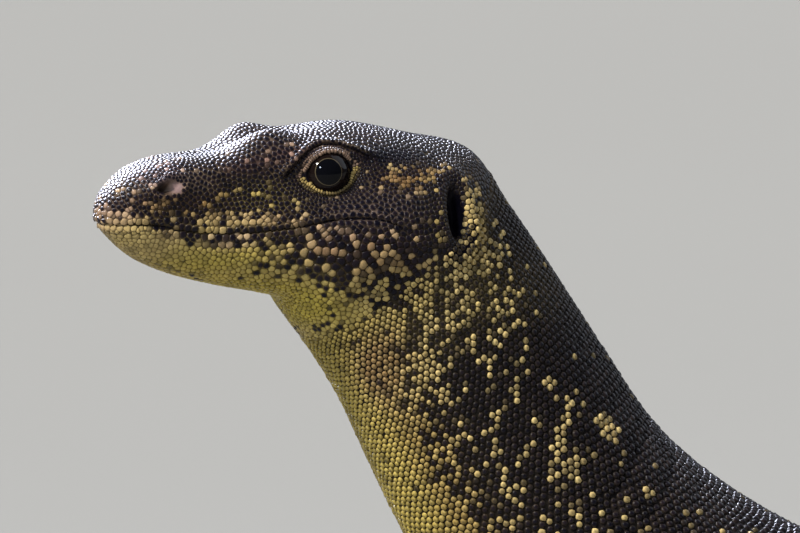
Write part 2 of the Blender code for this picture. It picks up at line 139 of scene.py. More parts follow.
EYE_AT, EYE_RADIUS = np.array((69.0, 13.3, 275.6)), 8.0
EAR_AT, EAR_REACH, EAR_DEPTH = np.array((108.4, 27, 262.0)), (4.4, 8.8), 5.4
NOSTRIL_AT, NOSTRIL_REACH, NOSTRIL_DEPTH = np.array((18.5, 12.5, 274.6)), (4.4, 2.3), 2.4
NOSTRIL_TILT = math.radians(14)
MOUTH = np.array([  # the line of the closed mouth: back and up
    (-5, 262.8), (12, 263.4), (27, 260.4), (39, 259.6), (54, 260.6), (72, 263.2), (84, 261.6), (90, 258.6),
], float)

# Legs: points of the middle line as back, left and up, then the half width and half thickness. Millimetres.
FORE_LEFT = [
    (200, 18, 106, 20, 19), (206, 44, 100, 19.5, 19), (216, 63, 88, 16, 16), (223, 80, 72, 13, 13),
    (214, 90, 50, 13.5, 12.5), (201, 97, 26, 9, 9.5), (190, 101, 10, 11.5, 8), (178, 104, 4.7, 14.5, 6.3),
    (166, 107, 3.8, 12, 5.0),
]
FORE_RIGHT = [
    (204, 18, 104, 20, 19), (214, 44, 96, 19.5, 19), (230, 62, 84, 16, 16), (243, 78, 70, 13, 13),
    (240, 88, 48, 13.5, 12.5), (232, 97, 25, 9, 9.5), (222, 103, 10, 11.5, 8), (211, 108, 4.7, 14.5, 6.3),
    (200, 113, 3.8, 12, 5.0),
]
HIND_LEFT = [
    (548, 12, 72, 23, 22), (545, 40, 70, 22.5, 21), (532, 66, 68, 20, 19), (517, 92, 64, 15.5, 15),
    (532, 108, 44, 16, 14.5), (552, 120, 22, 10, 10), (548, 128, 9, 12.5, 8), (533, 135, 4.8, 15, 6.5),
    (518, 141, 3.8, 13, 5.0),
]
HIND_RIGHT = [
    (552, 12, 70, 23, 22), (556, 40, 68, 22.5, 21), (552, 66, 66, 20, 19), (544, 92, 62, 15.5, 15),
    (564, 106, 42, 16, 14.5), (590, 116, 22, 10, 10), (590, 124, 9, 12.5, 8), (576, 134, 4.8, 15, 6.5),
    (562, 143, 3.8, 13, 5.0),
]
FORE_TOES = ((17, 25, 30, 29, 20), (-46, -21, 2, 24, 52))
HIND_TOES = ((18, 27, 36, 43, 27), (-44, -24, -6, 13, 50))
LEGS = {  # name: side (+1 left), its line, the toes' lengths, and the angle of each toe from the foot's line
    "fore_left": (1, FORE_LEFT, *FORE_TOES),
    "fore_right": (-1, FORE_RIGHT, *FORE_TOES),
    "hind_left": (1, HIND_LEFT, *HIND_TOES),
    "hind_right": (-1, HIND_RIGHT, *HIND_TOES),
}
LEG_FINE = 8  # steps of a leg's smooth line between two of its points
TOE_RADII = (4.6, 4.2, 3.6, 3.0)
TOE_STEP = 4.6  # from toe to toe across the foot
TOE_SETBACK, TOE_STAGGER, OUTER_SETBACK = 0.28, 0.1, 0.95  # how far behind the front they start, in palms
CLAW_LENGTH, CLAW_RADIUS, CLAW_POINT, CLAW_ARCH, CLAW_DROP = 13.0, 2.2, 0.12, 2.0, 1.5


# ---------------------------------------------------------------- small sums

def smooth(knots, rows, at):
    """Rows of values read along a smooth curve through them."""
    slopes = np.gradient(rows, knots, axis=0)
    i = np.clip(np.searchsorted(knots, at, side="right") - 1, 0, len(knots) - 2)
    step = knots[i + 1] - knots[i]
    u = ((at - knots[i]) / step)[:, None]
    step = step[:, None]
    return (
        rows[i] * (2 * u**3 - 3 * u**2 + 1) + slopes[i] * step * (u**3 - 2 * u**2 + u)
        + rows[i + 1] * (3 * u**2 - 2 * u**3) + slopes[i + 1] * step * (u**3 - u**2)
    )


def unit(vectors):
    return vectors / np.maximum(np.linalg.norm(vectors, axis=-1, keepdims=True), 1e-12)


def dot(a, b):
    return (a * b).sum(axis=-1)


def ease(low, high, at):
    """0 below low and 1 above high, with a smooth step between."""
    share = np.clip((at - low) / (high - low), 0, 1)
    return share * share * (3 - 2 * share)


def bell(at, middle, width):
    """1 at the middle, falling off on both sides by its width."""
    return np.exp(-(((at - middle) / width) ** 2))


def columns(*values):
    """Values side by side as columns, a single number repeated down its own."""
    return np.stack(np.broadcast_arrays(*values), axis=1)


def mirrored(points, side):
    """Points with their left and right swapped where the side is -1."""
    return points * np.stack([np.ones_like(side), side, np.ones_like(side)], axis=-1)


def left_half(points):
    """Straight-body points with those on the right mirrored to the left, and each one's side, 1 or -1."""
    side = np.where(points[:, 1] < 0, -1.0, 1.0)
    return mirrored(points, side), side


def patch(points, centre, reach):
    """A soft round patch: 1 at its centre, falling off at its reach on each axis, on both sides alike."""
    away = (left_half(points)[0] - centre) / reach
    return np.exp(-(away**2).sum(axis=1))


def full_turn(count):
    """Evenly spaced angles all the way round."""
    return np.arange(count) * 2 * math.pi / count


def distances(line):
    """How far along a line of points each of them is."""
    return np.concatenate([[0], np.cumsum(np.linalg.norm(np.diff(line, axis=0), axis=1))])


def points_along(line, lengths, at):
    """Points of a line at distances along it."""
    return np.stack([np.interp(at, lengths, line[:, axis]) for axis in range(3)], axis=1)


# ---------------------------------------------------------------- from the straight body to the frame

RIB_LENGTHS = distances((RIB_ROWS[:, 0:2] + RIB_ROWS[:, 2:4]) / 2)  # along the line halfway up the ribs
BODY_LENGTH = RIB_LENGTHS[-1]

PLAN_BACK = np.arange(-40, 1640, PLAN_STEP)
PLAN_WINDOW = np.full(2 * PLAN_EASE + 1, 1 / (2 * PLAN_EASE + 1))
PLAN_TURN = np.pad(np.radians(np.interp(PLAN_BACK, PLAN[:, 0], PLAN[:, 1])), PLAN_EASE, "edge")
PLAN_TURN = np.convolve(PLAN_TURN, PLAN_WINDOW, "valid")
PLAN_LINE = -np.cumsum(np.stack([np.cos(PLAN_TURN), np.sin(PLAN_TURN)], axis=1) * PLAN_STEP, axis=0)


def length_of(rib):
    """How far along the body a rib stands."""
    return RIB_LENGTHS[RIB_NAMES.index(rib)]


def plan_at(back):
    """The way the body faces and the plan line's place, at distances back."""
    return [np.interp(back, PLAN_BACK, values) for values in (PLAN_TURN, *PLAN_LINE.T)]


def bent(points, held=None):
    """Points bent along the plan line, or held rigid at one place on it: from millimetres to metres."""
    points = np.asarray(points, float).reshape(-1, 3)
    root = points[:, 0] if held is None else np.full(len(points), float(held))
    turn, x, y = plan_at(root)
    ahead, aside = root - points[:, 0], points[:, 1]
    x = x + ahead * np.cos(turn) - aside * np.sin(turn)
    y = y + ahead * np.sin(turn) + aside * np.cos(turn)
    return np.stack([x, y, points[:, 2]], axis=1) * MM


SHIFT = np.array(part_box("eye_left")).mean(axis=0) - bent(EYE_AT)[0]
SHIFT[2] = 0.0


def place(points, held=None):
    """Straight-body points in millimetres, in the frame."""
    return bent(points, held) + SHIFT


def place_rings(rings, held=None):
    return place(rings, held).reshape(rings.shape)


def unplace(points):
    """Points of the frame, back on the straight body in millimetres."""
    flat = (np.asarray(points) - SHIFT) / MM
    back = np.interp(-flat[:, 0], -PLAN_LINE[:, 0], PLAN_BACK)
    for _ in range(UNBEND_ROUNDS):
        turn, x, y = plan_at(back)
        dx, dy = flat[:, 0] - x, flat[:, 1] - y
        back -= UNBEND_SHARE * (dx * np.cos(turn) + dy * np.sin(turn))
    return np.stack([back, dy * np.cos(turn) - dx * np.sin(turn), flat[:, 2]], axis=1)


def unplace_held(points, held):
    """Points of the frame on the straight body, for what was placed rigid at one place on the plan line."""
    origin, back, left = place([(held, 0, 0), (held + 1, 0, 0), (held, 1, 0)], held)
    away = (np.asarray(points) - origin) / MM
    return np.stack([away @ (back - origin) / MM + held, away @ (left - origin) / MM, away[:, 2]], axis=1)


# ---------------------------------------------------------------- rings of the body and of the limbs

def sculpt(points):
    """The head's forms, added to the straight body and fading out within a millimetre of its middle."""
    both, side = left_half(points)
    moved = both.copy()
    for centre, reach, lift in HEAD_FORMS.values():
        moved += patch(both, centre, reach)[:, None] * np.array(lift, float)
    moved[:, 1] = both[:, 1] + (moved[:, 1] - both[:, 1]) * np.clip(both[:, 1], 0, 1)
    return mirrored(moved, side)


def body_rings(lengths, sides):
    """The straight body's rings at distances along it, each from the top round by its left."""
    rows = smooth(RIB_LENGTHS, RIB_ROWS, np.asarray(lengths, float))[:, :, None]
    top_back, top_high, low_back, low_high, half_width, widest, upper, lower = rows.transpose(1, 0, 2)
    rise, aside = np.cos(full_turn(sides)), np.sin(full_turn(sides))
    power = 2 / np.where(rise >= 0, upper, lower)
    half = np.where(rise >= 0, 1 - widest, widest)
    level = widest + np.sign(rise) * np.abs(rise) ** power * half
    across = np.sign(aside) * np.abs(aside) ** power * half_width
    high = low_high + (top_high - low_high) * level
    start = np.maximum(top_back, 0.0)
    shrink = np.maximum(1 - np.maximum(1 - start / SNOUT_ROUND, 0) ** SNOUT_POWER, 0) ** (1 / SNOUT_POWER)
    middle = (top_high + low_high) / 2
    rings = np.stack([
        low_back + (top_back - low_back) * level, across * shrink, middle + (high - middle) * shrink,
    ], axis=2)
    flat = sculpt(rings.reshape(-1, 3))
    flat[:, 2] = np.maximum(flat[:, 2], FLOOR)
    return flat.reshape(rings.shape)


def line_rings(points, wide, thick, sides, end_side, start_way=None):
    """Rings round a line: wide lies across it, level at its end, and thick stands on that."""
    tangents = np.gradient(points, axis=0)
    if start_way is not None:
        tangents[0] = start_way
    tangents = unit(tangents)
    across = np.array(end_side, float)
    angles = full_turn(sides)
    rings = []
    for k in range(len(points) - 1, -1, -1):
        across = across - tangents[k] * (across @ tangents[k])
        across /= np.linalg.norm(across)
        up = np.cross(tangents[k], across)
        ring = points[k] + np.outer(np.cos(angles) * wide[k], across)
        rings.append(ring + np.outer(np.sin(angles) * thick[k], up))
    rings = np.array(rings[::-1])
    rings[:, :, 2] = np.maximum(rings[:, :, 2], FLOOR)
    return rings


def leg_root(name):
    """How far back a leg starts, where it is held on the plan line."""
    return LEGS[name][1][0][0]


def toe_lines(name, steps=14):
    """Each toe's middle line with its radii, the points it runs through, its heading and the way across."""
    side, line, lengths, spread = LEGS[name]
    front, palm = (np.array(line[k][:3], float) * (1, side, 1) for k in (-1, -2))
    ahead = front - palm
    heading = math.atan2(ahead[1], -ahead[0])
    across = np.array([math.sin(heading), math.cos(heading), 0])
    for k, (length, turn) in enumerate(zip(lengths, spread)):
        setback = OUTER_SETBACK if k == 4 else TOE_SETBACK + TOE_STAGGER * abs(k - 2)
        start = front + across * side * (k - 2) * TOE_STEP - ahead * setback
        way = heading + side * math.radians(turn)
        toe_ahead = np.array([-math.cos(way), math.sin(way), 0])
        marks = ((-7, 5.0), (length * 0.34, 5.6), (length * 0.75, 2.8), (length, 2.3))  # out and up
        points = np.array([start + toe_ahead * reach + (0, 0, high - start[2]) for reach, high in marks])
        fine = smooth(np.arange(4.0), np.column_stack([points, TOE_RADII]), np.linspace(0, 3, steps))
        yield fine, points, toe_ahead, (math.sin(way), math.cos(way), 0)


def limb_lines(name, steps=14):
    """A leg and then its toes: middle line, half widths, half thicknesses and level way across the end."""
    side, line = LEGS[name][:2]
    rows = np.array(line, float) * (1, side, 1, 1, 1)
    knots = np.arange(len(rows), dtype=float)
    fine = smooth(knots, rows, np.linspace(0, knots[-1], LEG_FINE * (len(rows) - 1) + 1))
    yield fine[:, :3], fine[:, 3], fine[:, 4], np.cross(fine[-1, :3] - fine[-4, :3], (0, 0, 1))
    for toe, _, _, across in toe_lines(name, steps):
        yield toe[:, :3], toe[:, 3], toe[:, 3], across


# ---------------------------------------------------------------- meshes from arrays

def new_mesh(name, points, *polygons):
    """A smooth mesh from points and arrays of polygons, each array's rows with one number of corners."""
    mesh = bpy.data.meshes.new(name)
    mesh.vertices.add(len(points))
    mesh.vertices.foreach_set("co", np.asarray(points, np.float32).ravel())
    corners = np.concatenate([np.asarray(rows).ravel() for rows in polygons]).astype(np.int32)
    counts = np.concatenate([np.full(len(rows), np.shape(rows)[1]) for rows in polygons])
    starts = np.concatenate([[0], np.cumsum(counts)[:-1]]).astype(np.int32)
    mesh.loops.add(len(corners))
    mesh.loops.foreach_set("vertex_index", corners)
    mesh.polygons.add(len(counts))
    mesh.polygons.foreach_set("loop_start", starts)
    mesh.update(calc_edges=True)
    mesh.shade_smooth()
    return mesh


def fresh(store, name, *data):
    """A new object or material, in place of any older one of its name."""
    old = store.get(name)
    if old:
        store.remove(old)
    return store.new(name, *data)


def new_object(name, data):
    made = fresh(bpy.data.objects, name, data)
    bpy.context.scene.collection.objects.link(made)
    return made


def ring_quads(count, sides):
    """The quads between rings of points that follow each other."""
    i = np.arange(sides)
    j = (i + 1) % sides
    row = np.arange(count - 1)[:, None] * sides
    return np.stack([row + i, row + j, row + sides + j, row + sides + i], axis=2).reshape(-1, 4)


def tube(rings):
    """Points, quads and end triangles of a closed tube through rings of points."""
    count, sides = rings.shape[:2]
    points = np.concatenate([rings.reshape(-1, 3), rings[[0, -1]].mean(axis=1)])
    i = np.arange(sides)
    j = (i + 1) % sides
    last = (count - 1) * sides
    first_fan = np.stack([np.full(sides, count * sides), j, i], axis=1)
    last_fan = np.stack([np.full(sides, count * sides + 1), last + i, last + j], axis=1)
    return points, ring_quads(count, sides), np.concatenate([first_fan, last_fan])


def joined(parts):
    """Several parts' points, quads and triangles as one."""
    starts = np.concatenate([[0], np.cumsum([len(points) for points, _, _ in parts])[:-1]])
    points = np.concatenate([part[0] for part in parts])
    quads, fans = (np.concatenate([part[k] + start for part, start in zip(parts, starts)]) for k in (1, 2))
    return points, quads, fans


def read_values(items, word, width=1, kind=np.int32):
    """A value of each of a mesh's items, as rows where it is made of several numbers."""
    values = np.empty(len(items) * width, kind)
    items.foreach_get(word, values)
    return values if width == 1 else values.reshape(-1, width)


def read_points(mesh):
    return read_values(mesh.vertices, "co", 3, np.float32).astype(float)


def read_normals(mesh):
    return read_values(mesh.vertex_normals, "vector", 3, np.float32).astype(float)


def read_edges(mesh):
    return read_values(mesh.edges, "vertices", 2)


def write_points(mesh, points):
    mesh.vertices.foreach_set("co", np.asarray(points, np.float32).ravel())
    mesh.update()


def add_values(mesh, name, values):
    """A number for each point of a mesh, which its material reads by name."""
    layer = mesh.attributes.new(name, "FLOAT", "POINT")
    layer.data.foreach_set("value", np.asarray(values, np.float32))


def neighbour_mean(points, edges):
    """The mean of each point's neighbours."""
    count = np.bincount(edges.ravel(), minlength=len(points))
    total = np.zeros_like(points)
    for axis in range(3):
        ends = np.concatenate([points[edges[:, 1], axis], points[edges[:, 0], axis]])
        total[:, axis] = np.bincount(edges.T.ravel(), ends, len(points))
    return total / np.maximum(count, 1)[:, None]


def smoothed(points, edges, rounds, share=None):
    """Points eased toward their neighbours, and pushed back so that the form keeps its size."""
    share = np.ones(len(points)) if share is None else share
    for _ in range(rounds):
        for weight in (0.5, -0.52):
            points = points + (neighbour_mean(points, edges) - points) * (weight * share)[:, None]
    return points


# ---------------------------------------------------------------- where a point is on the body

COAT_DEPTHS = (
    ("snout", 0.25), ("occiput", 0.3), ("neck_upper", 0.5), ("chest", 0.6), ("vent", 0.55),
    ("tail_thick", 0.4), ("tail_thin", 0.25), ("tail_tip", 0.15),
)
LEG_DEPTH, TOE_DEPTH = 0.45, 0.25
LEG_NEAR, LEG_TOP = 110.0, 135.0  # how far from its start, back or ahead, and how high a leg's points may be
LINE_STEP, COARSE = 1.0, 6  # the step of the body's fine line, and how many the first search skips
SEEK_ROUNDS, SEEK_STEP, SEEK_MOST = 8, 0.5, 8  # how a point's rib is sought
LEAST_SLOPE, USUAL_SLOPE = 0.2, -0.7
LINE_AT = np.arange(0, BODY_LENGTH + LINE_STEP, LINE_STEP)
LINE_ROWS = smooth(RIB_LENGTHS, RIB_ROWS, LINE_AT)


def read_line(along, column):
    return np.interp(along, LINE_AT, LINE_ROWS[:, column])


def by_rib(table, along, column=1):
    """A value given at some ribs, read at distances along the body."""
    return np.interp(along, [length_of(row[0]) for row in table], [row[column] for row in table])


def rib_at(along):
    """The rib at distances along the body: its low end, and the way from there up to its top, back and up."""
    low = np.stack([read_line(along, 2), read_line(along, 3)], axis=1)
    return low, np.stack([read_line(along, 0), read_line(along, 1)], axis=1) - low


def off_rib(point, along):
    """How far each point, back and up, lies off the rib at a distance along the body."""
    low, rise = rib_at(along)
    away = point - low
    across = away[:, 0] * rise[:, 1] - away[:, 1] * rise[:, 0]
    return across / np.maximum(np.hypot(rise[:, 0], rise[:, 1]), 1e-6)


def body_at(flat):
    """How far along the body each point is, its angle round the rib and how far out it is in the rib's radii.

    The angle is 0 at the top and grows to the left.
    """
    point = flat[:, ::2]
    coarse = LINE_ROWS[::COARSE]
    middle = (coarse[:, 0:2] + coarse[:, 2:4]) / 2
    apart = (point[:, :1] - middle[:, 0]) ** 2 + (point[:, 1:] - middle[:, 1]) ** 2
    along = np.argmin(apart, axis=1) * COARSE * LINE_STEP
    for _ in range(SEEK_ROUNDS):
        here = off_rib(point, along)
        slope = (off_rib(point, along + SEEK_STEP) - off_rib(point, along - SEEK_STEP)) / (2 * SEEK_STEP)
        move = here / np.where(np.abs(slope) < LEAST_SLOPE, USUAL_SLOPE, slope)
        along = np.clip(along - np.clip(move, -SEEK_MOST, SEEK_MOST), 0, BODY_LENGTH)
    low, rise = rib_at(along)
    share = dot(point - low, rise) / np.maximum(dot(rise, rise), 1e-6)
    wide = read_line(along, 5)
    over = (share - wide) / np.where(share > wide, 1 - wide, wide)
    aside = flat[:, 1] / np.maximum(read_line(along, 4), 0.5)
    return along, np.arctan2(aside, over), np.hypot(aside, over)


def line_at(points, line, wide, thick, across_end):
    """How far along a limb's line each point is, its angle round it and its distance in the limb's radii."""
    tangents = unit(np.gradient(line, axis=0))
    across_end = np.array(across_end, float)
    across = unit(across_end - tangents * dot(tangents, across_end)[:, None])
    up = np.cross(tangents, across)
    k = np.argmin(((points[:, None, :] - line[None]) ** 2).sum(axis=2), axis=1)
    away = points - line[k]
    ahead = dot(away, tangents[k])
    x, y = dot(away, across[k]) / wide[k], dot(away, up[k]) / thick[k]
    spare = np.maximum(np.abs(ahead) - 3.0, 0) / 5.0
    return distances(line)[k] + ahead, np.arctan2(y, x), np.hypot(np.hypot(x, y), spare)


class Places:
    """For each point: its limb (0 body, then legs, then toes), its place along it and its angle round it."""

    def __init__(self, points):
        self.flat = unplace(points)
        self.both = left_half(self.flat)[0]
        self.along, self.angle, ratio = body_at(self.flat)
        self.part = np.zeros(len(points), int)
        self.leg = np.full(len(points), -1)
        ratio = np.where(self.along < length_of("neck_lower"), 0.0, ratio)
        for number, name in enumerate(LEGS):
            self.find_limbs(points, number, name, ratio)
        self.low = np.abs(self.angle) / math.pi

    def find_limbs(self, points, number, name, ratio):
        """Gives a leg and its toes the points that are nearer to them, in their radii, than to any before."""
        side, root = LEGS[name][0], leg_root(name)
        near = (ratio > 0.9) & (np.abs(self.flat[:, 0] - root) < LEG_NEAR) & (self.flat[:, 2] < LEG_TOP)
        near = np.flatnonzero(near & (np.sign(self.flat[:, 1]) == side))
        held = unplace_held(points[near], root)
        for k, limb in enumerate(limb_lines(name)):
            along, angle, apart = line_at(held, *limb)
            closer = apart < ratio[near]
            chosen = near[closer]
            self.part[chosen] = 1 + number if k == 0 else 4 + 5 * number + k
            self.leg[chosen] = number
            self.along[chosen], self.angle[chosen] = along[closer], angle[closer]
            ratio[chosen] = apart[closer]


# ---------------------------------------------------------------- the skin

VOXEL = 1.9 * MM
HEAD_REACH = length_of("occiput") + 7.0
FINE_REACH = length_of("nape")
SKIN_START, HEAD_RINGS, BODY_RINGS, BODY_SIDES = 0.2, 150, 720, 96
TOE_STEPS, TOE_FLATNESS = 24, 0.94
EASE_ROUNDS, CREASE_ROUNDS = 5, 45
HEAD_END = 125.0  # how far back the features of the head and its finest skin reach


def shrunk(rings, depth):
    """Rings drawn in toward their middles by a depth for each ring."""
    middles = rings.mean(axis=1, keepdims=True)
    outward = rings - middles
    size = np.linalg.norm(outward, axis=2, keepdims=True)
    depth = np.asarray(depth, float).reshape(-1, 1, 1) * np.ones_like(size)
    return middles + outward * (1 - np.minimum(depth / np.maximum(size, 1e-6), 0.8))


def skin_rings(lengths, sides):
    return shrunk(body_rings(lengths, sides), by_rib(COAT_DEPTHS, lengths))


def limb_tubes(name):
    """The leg's and its toes' closed tubes, drawn in by the coat's depth."""
    root = leg_root(name)
    leg, *toes = limb_lines(name, TOE_STEPS)
    line, wide, thick, across = leg
    rings = shrunk(line_rings(line, wide, thick, 48, across), np.full(len(line), LEG_DEPTH))
    yield tube(place_rings(rings, root))
    ends = ease(0, 3, np.arange(TOE_STEPS)[::-1]) * 0.4 + 0.6
    for line, wide, _, across in toes:
        radii = (wide - TOE_DEPTH) * ends
        yield tube(place_rings(line_rings(line, radii, radii * TOE_FLATNESS, 24, across), root))


def rough_skin():
    """One closed surface over the whole animal, made by filling its overlapping tubes with small cells."""
    head = np.linspace(SKIN_START, FINE_REACH, HEAD_RINGS)
    rest = np.linspace(FINE_REACH, BODY_LENGTH, BODY_RINGS)[1:]
    parts = [tube(place_rings(skin_rings(np.concatenate([head, rest]), BODY_SIDES)))]
    for name in LEGS:
        parts += limb_tubes(name)
    piece = new_object("rough_skin", new_mesh("rough_skin", *joined(parts)))
    remesh = piece.modifiers.new("Cells", "REMESH")
    remesh.mode = "VOXEL"
    remesh.voxel_size = VOXEL
    filled = bpy.data.meshes.new_from_object(piece.evaluated_get(bpy.context.evaluated_depsgraph_get()))
    bpy.data.objects.remove(piece)
    return filled


def ease_surface(mesh):
    """Takes the cells' steps out, and fills the creases where the legs join the trunk."""
    points, edges = read_points(mesh), read_edges(mesh)
    flat = unplace(points)
    points = smoothed(points, edges, EASE_ROUNDS)
    joints = np.zeros(len(points))
    for side, line, *_ in LEGS.values():
        shoulder = np.array(line[1][:3]) * (1, side, 1) - (0, side * 6, 0)
        joints = np.maximum(joints, 1 - ease(14, 42, np.linalg.norm(flat - shoulder, axis=1)))
    for _ in range(CREASE_ROUNDS):
        points += (neighbour_mean(points, edges) - points) * (0.5 * joints)[:, None]
    write_points(mesh, points)


def refine(mesh, share):
    """Splits in four the faces whose corners the share test picks."""
    work = bmesh.new()
    work.from_mesh(mesh)
    picked = share(read_points(mesh))
    work.verts.ensure_lookup_table()
    edges = [edge for edge in work.edges if picked[edge.verts[0].index] and picked[edge.verts[1].index]]
    bmesh.ops.subdivide_edges(work, edges=edges, cuts=1, use_grid_fill=True)
    work.to_mesh(mesh)
    work.free()


def head_surface():
    """The head's true surface under the scales, to bring the skin's points onto."""
    rings = skin_rings(np.linspace(SKIN_START, FINE_REACH + 12, 190), 160)
    points, quads, fans = tube(place_rings(rings))
    return BVHTree.FromPolygons([Vector(point) for point in points], [*quads.tolist(), *fans.tolist()])


def onto_head(mesh, surface):
    """Brings the head's points onto its true surface."""
    points = read_points(mesh)
    along = body_at(unplace(points))[0]
    share = 1 - ease(FINE_REACH - 8, FINE_REACH, along)
    for i in np.flatnonzero(share > 0):
        found = surface.find_nearest(Vector(points[i]))[0]
        points[i] += (np.array(found) - points[i]) * share[i]
    write_points(mesh, points)


# ---------------------------------------------------------------- the head's features

EYE_OUT = unit(np.array((-0.08, 0.97, 0.22)))  # the way out of the left eye's opening
LID_TILT = math.radians(7)
LID_HALF, LID_HIGH = 7.8, 4.7  # half the length and half the height of the opening
LID_POINT = 0.45  # how far its corners are drawn to points
LIDS_OPEN = 1.04  # the ring round the opening where the scales begin
LID_CREASE, LID_FOLD, LID_BROW = (1.78, 0.12), (1.52, 0.10), (2.12, 0.24)  # rings round it, and their widths
EYE_INSET, LID_THICK = 1.7, 0.75
CORNER_AT, CORNER_REACH = (91, 258.5), (5, 2.0)  # the dent at the corner of the mouth, back and up


def lid_axes():
    """The ways along the left eye's opening and up across it."""
    level = unit(np.array((1.0, 0, 0)) - EYE_OUT * EYE_OUT[0])
    upright = np.cross(level, EYE_OUT)
    along = level * math.cos(LID_TILT) + upright * math.sin(LID_TILT)
    return along, upright * math.cos(LID_TILT) - level * math.sin(LID_TILT)


LID_ALONG, LID_UP = lid_axes()


def eye_offsets(both):
    """Each point against the left eye: back along its opening, up across it, outward, and its ring.

    The ring is 1 along the edge of the lids and grows outward.
    """
    away = both - EYE_AT
    x, z, out = away @ LID_ALONG, away @ LID_UP, away @ EYE_OUT
    wide, high = x / LID_HALF, z / LID_HIGH
    return x, z, out, np.where(out > 0, np.sqrt(wide**2 + high**2 * (1 + LID_POINT * wide**2)), 9.0)


def lid_point(turn, ring):
    """A point of the left lids in the straight body: turn 0 at the back corner and 90 degrees at the top."""
    wide = np.cos(turn) * ring
    high = np.sin(turn) * ring / np.sqrt(1 + LID_POINT * wide**2)
    x, z = wide * LID_HALF, high * LID_HIGH
    out = np.sqrt(np.maximum((EYE_RADIUS + 1.0) ** 2 - x**2 - z**2, 1.0))
    return EYE_AT + x[:, None] * LID_ALONG + z[:, None] * LID_UP + out[:, None] * EYE_OUT


def mouth_height(back):
    return smooth(MOUTH[:, 0], MOUTH[:, 1:2], np.clip(back, MOUTH[0, 0], MOUTH[-1, 0]))[:, 0]


def nostril_ring(both):
    """Which ring round the nostril each point lies on: 1 at its edge, growing outward."""
    near = both - NOSTRIL_AT
    return np.hypot(near[:, 0] / NOSTRIL_REACH[0], near[:, 2] / NOSTRIL_REACH[1]) + 9 * (both[:, 1] <= 6)


def ear_ring(both):
    """Which ring round the ear each point lies on: 1 at its edge, growing outward."""
    near = both - EAR_AT
    return np.hypot(near[:, 0] / EAR_REACH[0], near[:, 2] / EAR_REACH[1]) + 9 * (both[:, 1] < 15)


def shape_eye(both):
    """Sinks the skin behind the eyeball and raises the two lids round it, with a crease and a brow above."""
    _, z, _, ring = eye_offsets(both)
    away = both - EYE_AT
    inside = EYE_RADIUS - EYE_INSET
    margin = EYE_RADIUS + LID_THICK + 0.35 * ease(-1, 3, z)
    wanted = inside + (margin - inside) * ease(0.86, 1.02, ring)
    blend = 1 - ease(1.12, 1.75, ring)
    both = both + unit(away) * ((wanted - np.linalg.norm(away, axis=1)) * blend)[:, None]
    crease = bell(ring, *LID_CREASE) * ease(-1.5, 2.5, z)
    fold = bell(ring, *LID_FOLD) * (1 - ease(-3.5, -1.0, z)) * 0.5
    brow = bell(ring, *LID_BROW) * ease(0.5, 4.0, z)
    return both + EYE_OUT * (brow * 1.1 - crease * 1.1 - fold * 0.7)[:, None]


def shape_mouth(both, normals):
    """The closed lips: a groove along the mouth line with a soft roll above and below."""
    above = both[:, 2] - mouth_height(both[:, 0])
    fade = 1 - ease(84, 91, both[:, 0])
    groove = bell(above, 0, 0.36) * 0.85
    rolls = bell(above, 1.5, 1.0) * 0.3 + bell(above, -1.6, 1.0) * 0.22
    corner = np.exp(-(((both[:, ::2] - CORNER_AT) / CORNER_REACH) ** 2).sum(axis=1)) * 0.8
    return both + normals * ((rolls - groove) * fade - corner)[:, None]


def shape_openings(both, normals):
    """The nostril, a slanted oval pit with a raised rim, and the ear, an upright oval one."""
    near = both - NOSTRIL_AT
    x = near[:, 0] * math.cos(NOSTRIL_TILT) + near[:, 2] * math.sin(NOSTRIL_TILT)
    z = near[:, 2] * math.cos(NOSTRIL_TILT) - near[:, 0] * math.sin(NOSTRIL_TILT)
    front = np.where(x < 0, 0.8, 1.0)
    ring = np.hypot(x / NOSTRIL_REACH[0], z / (NOSTRIL_REACH[1] * front)) + 9 * (both[:, 1] < 6)
    depth = (1 - ease(0.55, 1.05, ring)) * NOSTRIL_DEPTH * (1.3 - 0.85 * ease(-2.5, 2.5, x))
    rim = bell(ring, 1.4, 0.28) * 0.45
    ring = ear_ring(both)
    ear = (1 - ease(0.5, 1.1, ring)) * EAR_DEPTH
    flap = bell(ring, 1.45, 0.3) * 0.7
    return both + normals * (rim + flap - depth - ear)[:, None]


# Folds of loose skin: each one's middle and reach, the way across it (back, up), how far apart and how deep.
FOLDS = (
    ((121, 26, 252), (12, 14, 24), (0.97, 0.25), 6.5, 0.5),
    ((112, 24, 232), (16, 14, 14), (0.8, 0.6), 7.5, 0.6),
    ((176, 26, 180), (26, 18, 30), (0.75, -0.66), 13.0, 0.8),
    ((236, 38, 92), (22, 20, 30), (0.8, 0.6), 12.0, 1.0),
    ((400, 56, 78), (90, 30, 30), (1.0, 0.12), 21.0, 0.9),
    ((520, 45, 60), (26, 20, 24), (0.9, 0.4), 12.0, 0.9),
)


def shape_folds(both, normals):
    lift = np.zeros(len(both))
    for centre, reach, way, apart, depth in FOLDS:
        near = patch(both, centre, reach)
        wander = 0.9 * np.sin(both[:, 2] / 9.0 + both[:, 1] / 7.0) + 0.6 * np.sin(both[:, 0] / 11.0)
        wave = np.cos((both[:, 0] * way[0] + both[:, 2] * way[1]) * 2 * math.pi / apart + wander)
        lift += near * depth * (wave**3 * 0.4 - 0.6 * np.maximum(-wave, 0) ** 4)
    return both + normals * lift[:, None]


